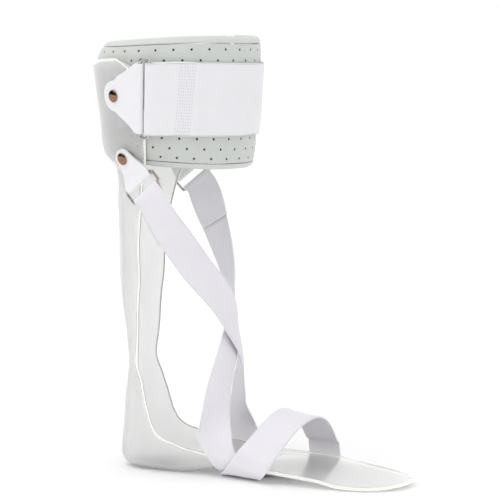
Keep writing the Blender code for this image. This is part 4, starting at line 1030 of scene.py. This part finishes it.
def buildCalfHardware():
    rivetArc, barArc = arcAt(calf["rivetAngle"]), arcAt(calf["barAngle"])
    length = barArc - rivetArc
    half = calf["tabThickness"] / 2
    layer, barRadius = half + gap / 2, calf["wire"] + gap + half
    barOut = calf["wire"] + 2 * gap + calf["thickness"]
    path = foldedPath(length + calf["tabEndRadius"] * 0.985, barRadius, layer, foldSpread, 30)
    along, out = path.T
    halves = tabHalfWidths(length - along, length, calf["tabWidth"], calf["tabEndRadius"])
    settled = ease(along / settleLength)
    place = barOut + out - (barOut - gap - calf["tabThickness"] - gap / 2) * settled
    shares = np.linspace(-1, 1, 25)
    for sideName, side in sides.items():
        grid = uprightRows(angleAt(side * (barArc - along)), place, halves, 1 - settled, shares)
        tab = roundedSheet(f"calfTab_{sideName}", grid, half)
        dress(tab, f"calf_tab_{sideName}", "white_vinyl", vinyl)
        centre = formedPoints(calf["middle"], side * calf["rivetAngle"])
        axis = formedNormals(calf["middle"], side * calf["rivetAngle"])
        innerFace = -shell["wall"] - curvedGap - calf["discThickness"] - gap
        stud = turnedPiece(f"calfRivet_{sideName}", centre, axis,
                           rivetProfile(innerFace, 3 * gap + 2 * calf["tabThickness"]))
        dress(stud, f"calf_rivet_{sideName}", "rivet_bronze", rivetMetal)
        loop = []
        for up, across in ringLoop(calf["ringHeight"], calf["ringGap"], calf["width"]):
            angle = angleAt(side * (barArc + calf["ringGap"] / 2 + across))
            low, high = uprightRows([angle], [barOut], [calf["width"] / 2], [1.0], (-1, 1))[0]
            loop.append(low + (high - low) * (up / calf["width"] + 0.5))
        loop = np.array(loop)
        plane = np.cross(loop[0] - loop[9], loop[18] - loop[9])
        ring = wireLoop(f"calfRing_{sideName}", loop, plane, calf["wire"])
        dress(ring, f"calf_ring_{sideName}", "ring_steel", ringMetal)

        # hook disc: a flat ring of hooks against the cup's inner face
        thick = calf["discThickness"]
        radii = np.linspace(rivet["shank"] + gap, calf["discRadius"] - thick / 2, 12)
        profile = [(r, 0.0) for r in radii]
        profile += [(radii[-1] + thick / 2 * math.sin(t), thick / 2 * (1 - math.cos(t)))
                    for t in np.linspace(0.6, math.pi - 0.6, 4)]
        profile += [(r, thick) for r in radii[::-1]]
        turns = np.linspace(0, 2 * math.pi, 72, endpoint=False)
        radius, deep = np.array(profile).T
        arcsHere = side * (rivetArc + radius[None] * np.cos(turns)[:, None])
        upsHere = radius[None] * np.sin(turns)[:, None]
        points = formedPoints(*formedSpots(angleAt(arcsHere), upsHere),
                              -shell["wall"] - curvedGap - deep[None])
        run = np.stack((arcsHere, upsHere, np.zeros_like(arcsHere)), axis=2)
        faces = loftFaces(72, len(profile), True).reshape(-1, 4).tolist()
        disc = meshObject(f"hookDisc_{sideName}", points.reshape(-1, 3), faces,
                          run=run.reshape(-1, 3))
        dress(disc, f"hook_disc_{sideName}", "white_hook", hook)
    return barOut


def strapColumns(halfWidth, line, fine):
    # columns across a strap, close together at its edges and its woven edge line
    near = np.array([0.0, 0.0006, 0.0012, line - 0.0007, line - 0.00035, line, line + 0.00035,
                     line + 0.0008])
    middle = np.arange(line + 0.0008 + fine, halfWidth, fine)
    side = np.unique(np.round(np.concatenate((near, middle)), 6))
    side = side[side < halfWidth - fine / 3]
    return np.concatenate((-(halfWidth - side), [0.0], (halfWidth - side)[::-1])) / halfWidth


def buildCalfStrap(barOut):
    barArc = arcAt(calf["barAngle"]) + calf["ringGap"]
    frontArc = arcLengths[-1]
    half = calf["thickness"] / 2
    barRadius, layer = calf["wire"] + gap + half, half + gap / 2
    onPad = -shell["wall"] + gap + half

    def outFromForm(along, upper):
        middle = barOut + (onPad + layer - barOut) * ease(along / calf["slope"])
        spread = layer + (barRadius - layer) * np.maximum(0.0, 1 - along / settleLength) ** 2
        return middle + (spread if upper else -spread)

    def run(first, last, upper):
        along = np.linspace(first, last, max(3, round(abs(last - first) / 0.002)))
        return np.stack((along, outFromForm(along, upper)), axis=1)

    turns = np.radians(np.arange(168, 11, -12))
    aroundBar = np.stack((-barRadius * np.sin(turns), barOut + barRadius * np.cos(turns)), axis=1)
    halfWay = frontArc - barArc
    settled = calf["sewnLength"] + settleLength
    upper = run(calf["wire"], settled, True)
    upper[:, 1] -= 2 * layer * ease((upper[:, 0] - calf["sewnLength"]) / settleLength)
    count = round((halfWay - settled) / 0.002)
    medial = np.concatenate((run(calf["sewnLength"], calf["wire"], False), aroundBar, upper,
                             [(x, onPad) for x in np.linspace(settled, halfWay, count)[1:]]))
    lateral = np.concatenate(([(x, onPad) for x in np.linspace(halfWay, calf["flapLength"],
                                                               count)[1:]],
                              run(calf["flapLength"], calf["wire"], False)[1:], aroundBar,
                              run(calf["wire"], calf["flapLength"], True)))
    groove = calf["edgeLine"]
    shares = strapColumns(calf["width"] / 2, groove["in"], calf["columnSpacing"])
    rows = []
    for side, path in ((-1, medial), (1, lateral)):
        along, out = path.T
        angles = angleAt(side * np.minimum(barArc + along, frontArc))
        rows.append(uprightRows(angles, out, np.full(len(along), calf["width"] / 2),
                                1 - ease(along / settleLength), shares))
    grid = np.concatenate(rows)
    fromEdge = calf["width"] / 2 * (1 - np.abs(shares))
    thick = half - groove["depth"] * np.exp(-((fromEdge - groove["in"]) / groove["width"]) ** 2)
    strap = roundedSheet("calfStrap", grid, np.broadcast_to(thick[None], grid.shape[:2]))
    dress(strap, "calf_strap", "white_strap", strapCloth)

    # the sewn end's block of stitches, in slanting columns; their thread is painted grey as painted shade for
    # the tiny shadows between white stitches
    spots, ways, outs = [], [], []
    rowCount = int(calf["width"] * 0.94 / calf["stitchPitch"])
    for column in range(calf["stitchColumns"]):
        for row in range(rowCount):
            share = (2 * row / (rowCount - 1) - 1) * 0.955
            along = calf["stitchStart"] + column * calf["stitchColumnGap"] + calf["stitchSlant"] * share
            angle = angleAt(-(barArc + along))
            out = float(outFromForm(along, True)) + half
            here, above = (formedSpots(angle, share * calf["width"] / 2 + step)
                           for step in (0.0, 0.001))
            spots.append(formedPoints(*here, out - 0.0001))
            ways.append(formedPoints(*above, out) - formedPoints(*here, out))
            outs.append(formedNormals(min(float(here[0]), shell["height"]), here[1]))
    sewn = stitches("calfStrapStitches", spots, ways, outs, calf["stitchLength"],
                    calf["threadRadius"])
    dress(sewn, None, "white_strap", paintedShadeThread)


# long elastic strap, its tabs, rings and rivets
instep = {
    "width": 0.027,
    "thickness": 0.0013,
    "sewnLength": 0.048,
    "straightAtRing": 0.006,
    "twistLength": 0.040,
    "wire": 0.00125,
    "ringWidth": 0.0306,
    "ringGap": 0.0110,
    "tabWidth": 0.0262,
    "tabLength": 0.0235,
    "tabEndRadius": 0.0080,
    "rivetDrop": 0.1475 * shell["height"],
    "rivetAngle": 69.0,
    "ringTurn": 20.0,
    "runForward": 0.9,
    "plateTwistLength": 0.022,
    "standoff": 0.0011,
    "tabDown": (0.627, 0.133, -0.768),
    "crossingReach": 0.067,
    "crossingHeight": 0.117,
    "crossingSpread": 0.040,
    "shinBow": 0.0018,
    "limbHalfWidth": 0.036,
    "bandReach": 0.1225,
    "bandHeight": 0.0515,
    "edgeGap": 0.0015,
    "soleCrossingGap": 0.0012,
    "shinCrossingGap": 0.0028,
    "shinRows": (  # along, side and rise from the crossing
        (0.430, 1.56, 0.789),
        (0.68, 1.16, 0.526),
        (0.92, 0.54, 0.258),
        (1.00, 0.00, 0.000),
        (1.00, -0.36, -0.160),
        (0.96, -0.68, -0.335),
        (0.93, -0.89, -0.540),
    ),
    "bandRows": (  # along, side and height over the forefoot
        (0.870, -0.78, 0.66),
        (0.950, -0.45, 0.92),
        (1.000, -0.08, 1.00),
        (1.040, 0.28, 0.95),
        (1.072, 0.63, 0.74),
        (1.095, 0.90, 0.45),
    ),
    "plateTurns": {
        "innerRun": (0.318, 0.60),
        "innerBand": (0.404, -0.60),
        "outerRun": (0.298, 0.20),
        "outerBand": (0.610, 0.11),
    },
    "turnRuns": (0.014, 0.007, 0.003, 0.001, -0.002, -0.0055, -0.010, -0.016),
    "limbAxis": ((0.36, 2.60), (0.33, 0.95), (0.66, 0.42), (2.60, 0.15)),
    "columns": (-1, -0.5, 0, 0.5, 1),
    "foldPeek": 0.13,  # how far the folded layer shows beside the one over it
    "selvedge": {"in": 0.0008, "height": 0.00016, "width": 0.0007},
    "edgeLine": {"in": 0.0019, "depth": 0.00012, "width": 0.0004},
    "columnSpacing": 0.0016,
    "rowSpacing": 0.0026,
}


def instepFrame(side):
    spot = formedSpots(side * instep["rivetAngle"], -instep["rivetDrop"])
    centre, outward = Vector(formedPoints(*spot)), Vector(formedNormals(*spot))
    down = Vector(instep["tabDown"]) * Vector((1.0, side, 1.0))
    down = (down - outward * down.dot(outward)).normalized()
    return centre, outward, down, outward.cross(down)


def ringFrame(side):
    # middle of the ring's bar, with the ring's own directions: it turns to face forward
    centre, outward, down, across = instepFrame(side)
    out = instep["standoff"] + calf["tabThickness"] + instep["wire"] + gap
    turn = Matrix.Rotation(math.radians(side * instep["ringTurn"]), 3, down)
    return centre + outward * out + down * instep["tabLength"], turn @ outward, down, turn @ across


def buildInstepHardware():
    half = calf["tabThickness"] / 2
    layer, barRadius = half + gap / 2, instep["wire"] + gap + half
    path = foldedPath(instep["tabLength"] + instep["tabEndRadius"] * 0.98, barRadius, layer,
                      foldSpread, 24)
    halves = tabHalfWidths(instep["tabLength"] - path[:, 0], instep["tabLength"],
                           instep["tabWidth"],
                           instep["tabEndRadius"])
    for sideName, side in sides.items():
        centre, outward, down, _ = instepFrame(side)
        bar, turnedOut, _, turnedAcross = ringFrame(side)
        grid = []
        for (along, out), halfWidth in zip(path, halves):
            wayOut = turnedOut.slerp(outward,
                                     float(ease(along / (instep["tabLength"] - rivet["head"]))))
            across = wayOut.cross(down)
            settled = (barRadius - layer) * float(ease(along / settleLength))
            middle = bar - down * along + wayOut * (out - settled)
            grid.append([middle + across * (halfWidth * share) for share in np.linspace(-1, 1, 17)])
        tab = roundedSheet(f"instepTab_{sideName}", grid, half)
        dress(tab, f"instep_tab_{sideName}", "white_vinyl", vinyl)
        stud = turnedPiece(f"instepRivet_{sideName}", centre, outward,
                           rivetProfile(-shell["wall"] - 2 * instep["standoff"],
                                        instep["standoff"] + 2 * gap + 2 * calf["tabThickness"]))
        dress(stud, f"instep_rivet_{sideName}", "rivet_bronze", rivetMetal)
        loop = [bar + down * (instep["ringGap"] / 2 + over) + turnedAcross * along
                for along, over in ringLoop(instep["ringWidth"], instep["ringGap"],
                                            instep["width"])]
        ring = wireLoop(f"instepRing_{sideName}", loop, turnedOut, instep["wire"])
        dress(ring, f"instep_ring_{sideName}", "ring_steel", ringMetal)


def shinRun(side):
    bar, _, down, _ = ringFrame(side)
    bar += down * instep["ringGap"]
    points = [bar, bar + down * (4 * instep["wire"])]
    for along, aside, rise in instep["shinRows"]:
        way = bar.z - instep["crossingHeight"] if rise > 0 else instep["crossingHeight"]
        points.append(Vector((along * instep["crossingReach"],
                              side * aside * instep["limbHalfWidth"],
                              instep["crossingHeight"] + rise * way)))
    return points


def sectionAt(spot):
    labels = ("x", "z", "tilt", "halfWidth", "aside", "flat", "depth", "edge")
    return dict(zip(labels, monotoneTable(sectionSpots, sections, spot)[0]))


def plateOutline(reach, side, offset):
    # from the plate's midline out round its edge and up, with lengths counted from the edge
    section = sectionAt(spotAtReach(reach))
    edgeAngle = math.acos(1 - section["edge"])
    corner = (section["halfWidth"] - section["flat"]) / math.sin(edgeAngle)
    points = [Vector((reach, section["aside"], section["z"] - offset))]
    for share in (0.0, 0.4, 0.75, 1.0):
        turn = edgeAngle * share
        slope = math.atan2(section["depth"] * math.sin(turn), corner * math.cos(turn))
        face = Vector((reach, section["aside"] + side * (section["flat"] + corner * math.sin(turn)),
                       section["z"] + section["depth"] * (1 - math.cos(turn))))
        points.append(face + Vector((0.0, side * math.sin(slope), -math.cos(slope))) * offset)
    edgeIndex = len(points) - 1
    for share in (0.5, 1.0):
        turned = slope + (math.pi / 2 - slope) * share
        points.append(face + Vector((0.0, side * math.sin(turned), -math.cos(turned))) * offset)
    points.append(points[-1] + Vector((0.0, 0.0, 2 * shell["heelCupHeight"])))
    lengths = np.cumsum([0.0] + [(b - a).length for a, b in zip(points, points[1:])])
    return points, lengths - lengths[edgeIndex]


def roundPlate(reach, side, run, offset):
    points, lengths = plateOutline(reach, side, offset)
    return Vector([float(np.interp(run, lengths, [point[k] for point in points]))
                   for k in range(3)])


def turnRows(name, offset, halfReach):
    reachShare, heading = instep["plateTurns"][name]
    side = -1 if name.startswith("inner") else 1
    rows = []
    for run in instep["turnRuns"]:
        reach = reachShare * shell["toeReach"] - heading * run
        rows.append([roundPlate(reach + halfReach * share, side, run, offset)
                     for share in instep["columns"]])
    return rows


def plateRun(first, last, firstOffset, lastOffset):
    def slant(heading):
        return instep["width"] / 2 * math.hypot(1.0, heading)

    down = turnRows(first, firstOffset, slant(instep["plateTurns"][first][1]))
    up = turnRows(last, lastOffset, slant(instep["plateTurns"][last][1]))[::-1]
    start, end = down[-1][2], up[0][2]
    halfReach = slant((end.x - start.x) / (end.y - start.y))
    under = []
    for share in (0.25, 0.5, 0.75):
        spot = start.lerp(end, share)
        offset = firstOffset + (lastOffset - firstOffset) * float(ease(share * 4))
        row = []
        for column in instep["columns"]:
            reach = spot.x + halfReach * column
            row.append(Vector((reach, spot.y, sectionAt(spotAtReach(reach))["z"] - offset)))
        under.append(row)
    return down + under + up


def limbOutward(point):
    axis = [Vector((x * instep["crossingReach"], 0.0, z * instep["crossingHeight"]))
            for x, z in instep["limbAxis"]]
    nearest = None
    for first, last in zip(axis, axis[1:]):
        share = (point - first).dot(last - first) / (last - first).length_squared
        spot = first.lerp(last, min(1.0, max(0.0, share)))
        if nearest is None or (point - spot).length < (point - nearest).length:
            nearest = spot
    return (point - nearest).normalized()


def freeRows(points, ringSide, wrapVectors, lift=0.0):
    # rows square to a free stretch: centre, along, outward, across, bow and length so far
    line = smoothRoute(points, 0.0112)
    lengths = np.cumsum([0.0] + [(b - a).length for a, b in zip(line, line[1:])])
    away = [limbOutward(point) for point in line]
    rows = []
    for i, point in enumerate(line):
        along = (line[min(i + 1, len(line) - 1)] - line[max(i - 1, 0)]).normalized()
        outward = Vector()
        for other, length in zip(away, lengths):
            outward += other * max(0.0, 1 - abs(length - lengths[i]) / instep["twistLength"])
        outward.normalize()
        if ringSide:
            share = float(ease((lengths[i] - instep["straightAtRing"]) / instep["twistLength"]))
            outward = ringFrame(ringSide)[1].lerp(outward, share)
            lower = (instep["crossingHeight"] - point.z) / instep["crossingSpread"]
            outward.x += instep["runForward"] * float(ease(lower))
        outward = (outward - along * outward.dot(along)).normalized()
        across = along.cross(outward) * (instep["width"] / 2)
        for end, vector in wrapVectors.items():
            fromTurn = lengths[i] if end == 0 else lengths[-1] - lengths[i]
            across = vector.lerp(across, float(ease(fromTurn / instep["plateTwistLength"])))
        near = 0.0
        if ringSide:
            near = float(ease(1.6 - abs(point.z - instep["crossingHeight"]) / instep["crossingSpread"]))
        bow = outward * (instep["shinBow"] * near)
        rows.append((point + outward * (lift * near), along, outward, across, bow, lengths[i]))
    return rows


def stripRows(rows, offsets, aside=None):
    aside = [0.0] * len(rows) if aside is None else aside
    return [[centre + outward * out + across * (share + shift) - bow * share ** 2 for share in instep["columns"]]
            for (centre, _, outward, across, bow, _), out, shift in zip(rows, offsets, aside)]


def ringFold(rows):
    half = instep["thickness"] / 2
    layer, barRadius = half + gap, instep["wire"] + gap + half

    def layerOut(run):
        paired = 1 - float(ease((run - instep["sewnLength"]) / settleLength))
        return layer * paired + (barRadius - layer) * max(0.0, 1 - run / foldSpread) ** 2

    under = [row for row in rows if row[-1] < instep["sewnLength"]]
    aside = [instep["foldPeek"] * float(ease(row[-1] / 0.02)) for row in under]
    folded = stripRows(under, [-layerOut(row[-1]) for row in under], aside)[::-1]
    centre, along, outward, across = rows[0][:4]
    for turn in np.radians(np.linspace(165, 15, 11)):
        place = centre - along * (barRadius * math.sin(turn)) + outward * (barRadius * math.cos(turn))
        folded.append([place + across * share for share in instep["columns"]])
    return folded + stripRows(rows, [layerOut(row[-1]) for row in rows])


def finerGrid(grid, spacing, shares):
    # the coarse rows read smoothly along their length and across
    grid = np.array([[tuple(point) for point in row] for row in grid])
    middle = grid[:, grid.shape[1] // 2]
    lengths = np.concatenate(([0.0], np.cumsum(np.linalg.norm(np.diff(middle, axis=0), axis=1))))
    keep = np.concatenate(([True], np.diff(lengths) > 1e-6))
    grid, lengths = grid[keep], lengths[keep]
    wanted = [lengths[0]]
    for a, b in zip(lengths[:-1], lengths[1:]):
        count = max(1, round((b - a) / spacing))
        wanted += [a + (b - a) * (k + 1) / count for k in range(count)]
    fine = throughPoints(lengths, grid.reshape(len(grid), -1),
                         np.array(wanted)).reshape(len(wanted), -1, 3)
    columns = np.array(instep["columns"], float)
    across = throughPoints(columns, fine.transpose(1, 0, 2).reshape(len(columns), -1), shares)
    return across.reshape(len(shares), len(wanted), 3).transpose(1, 0, 2)


def buildInstepStrap():
    half = instep["thickness"] / 2
    close = half + instep["edgeGap"]
    far = close + instep["thickness"] + instep["soleCrossingGap"]
    firstUnder = plateRun("outerRun", "innerBand", close, far)
    secondUnder = plateRun("outerBand", "innerRun", close, close)

    def middle(row):
        return row[len(row) // 2]

    def halfRow(row):
        return (row[-1] - row[0]) / 2

    firstShin = freeRows(shinRun(-1) + [middle(firstUnder[0])], -1, {-1: halfRow(firstUnder[0])},
                         lift=instep["thickness"] + instep["shinCrossingGap"])
    forefoot = [middle(firstUnder[-1])]
    for along, side, height in instep["bandRows"]:
        forefoot.append(Vector((along * instep["bandReach"], side * shell["ballHalfWidth"],
                                height * instep["bandHeight"])))
    forefoot.append(middle(secondUnder[0]))
    band = freeRows(forefoot, 0, {0: halfRow(firstUnder[-1]), -1: halfRow(secondUnder[0])})
    lastShin = freeRows(shinRun(1) + [middle(secondUnder[-1])], 1, {-1: -halfRow(secondUnder[-1])})
    grid = ringFold(firstShin)[:-1] + firstUnder + stripRows(band, [0.0] * len(band))[1:-1]
    grid += secondUnder + [row[::-1] for row in ringFold(lastShin)[:-1]][::-1]
    ridge, groove = instep["selvedge"], instep["edgeLine"]
    shares = strapColumns(instep["width"] / 2, groove["in"], instep["columnSpacing"])
    fine = finerGrid(grid, instep["rowSpacing"], shares)
    fromEdge = instep["width"] / 2 * (1 - np.abs(shares))
    thick = half + ridge["height"] * np.exp(-((fromEdge - ridge["in"]) / ridge["width"]) ** 2)
    thick -= groove["depth"] * np.exp(-((fromEdge - groove["in"]) / groove["width"]) ** 2)
    strap = roundedSheet("instepStrap", fine, np.broadcast_to(thick[None], fine.shape[:2]))
    dress(strap, "instep_strap", "white_elastic", elasticCloth)


# floor, light and camera
studio = {
    "cameraAt": (0.4959, -1.3626, 0.372),
    "cameraTilt": 82.6,
    "cameraPan": 16.9,
    "lens": 125.3,
    "roomLight": 0.93,
    "keyLight": 0.75,
    "keyWay": (0.38, 0.44, -1.0),
    "keySoftness": 50.0,
    "floorShades": ((0.94, 0.94, 0.94), (0.96, 0.96, 0.96)),
    "mirrored": (0.03, 1.6),  # what metal sees on the camera's side and beyond the part
    "mirroredRange": (-0.75, 0.35),
}


def buildStudio():
    floorMesh = bpy.data.meshes.new("floor")
    floorMesh.from_pydata([(-30, -30, 0), (30, -30, 0), (30, 30, 0), (-30, 30, 0)], [],
                          [(0, 1, 2, 3)])
    floor = bpy.data.objects.new("floor", floorMesh)
    bpy.context.scene.collection.objects.link(floor)
    material, tree, shader = startMaterial("paleFloor", Roughness=0.9, Specular_IOR_Level=0.1)
    grain = placeGroup(tree, grainGroup, Scale=300.0, Patch_Scale=2.0)
    tree.links.new(mixColours(tree, grain["Patch"], *studio["floorShades"]),
                   shader.inputs["Base Color"])
    floorMesh.materials.append(material)

    # an even white room, dark in reflections on the camera's side so that metal shows its form
    world = bpy.data.worlds.new("whiteRoom")
    bpy.context.scene.world = world
    world.use_nodes = True
    tree = world.node_tree
    path = addNode(tree, "ShaderNodeLightPath").outputs
    way = addNode(tree, "ShaderNodeSeparateXYZ",
                  {"Vector": addNode(tree, "ShaderNodeTexCoord").outputs["Generated"]})
    facing = calc(tree, "MULTIPLY_ADD", way.outputs["Y"], 0.8,
                  calc(tree, "MULTIPLY", way.outputs["X"], 0.9))
    low, high = studio["mirroredRange"]
    dark, bright = studio["mirrored"]
    seen = addNode(tree, "ShaderNodeMapRange", {"Value": facing, "From Min": low, "From Max": high,
                                                "To Min": dark, "To Max": bright}).outputs[0]
    throughPlastic = calc(tree, "SUBTRACT", 1.0, path["Is Transmission Ray"])
    mirrored = calc(tree, "MULTIPLY", path["Is Glossy Ray"], throughPlastic)
    room = addNode(tree, "ShaderNodeMix", {0: mirrored, 2: studio["roomLight"], 3: seen},
                   data_type="FLOAT")
    strength = addNode(tree, "ShaderNodeMix",
                       {0: path["Is Camera Ray"], 2: room.outputs[0], 3: 1.0},
                       data_type="FLOAT").outputs[0]
    tree.links.new(strength, tree.nodes["Background"].inputs["Strength"])
    tree.nodes["Background"].inputs["Color"].default_value = (1, 1, 1, 1)

    light = bpy.data.lights.new("key", "SUN")
    light.energy = studio["keyLight"]
    light.angle = math.radians(studio["keySoftness"])
    lamp = bpy.data.objects.new("key", light)
    lamp.rotation_euler = Vector(studio["keyWay"]).to_track_quat("-Z", "Y").to_euler()
    bpy.context.scene.collection.objects.link(lamp)

    camera = bpy.data.cameras.new("camera")
    camera.lens = studio["lens"]
    camera.sensor_width = 36.0
    camera.clip_end = 100.0
    view = bpy.data.objects.new("camera", camera)
    view.location = studio["cameraAt"]
    view.rotation_euler = (math.radians(studio["cameraTilt"]), 0.0,
                           math.radians(studio["cameraPan"]))
    bpy.context.scene.collection.objects.link(view)
    bpy.context.scene.camera = view
    bpy.context.scene.view_settings.view_transform = "Standard"


buildShell()
print("shell built")
buildCuff()
print("cuff built")
calfBarOut = buildCalfHardware()
buildCalfStrap(calfBarOut)
print("calf strap built")
buildInstepHardware()
buildInstepStrap()
print("instep strap built")
buildStudio()
print("studio ready")
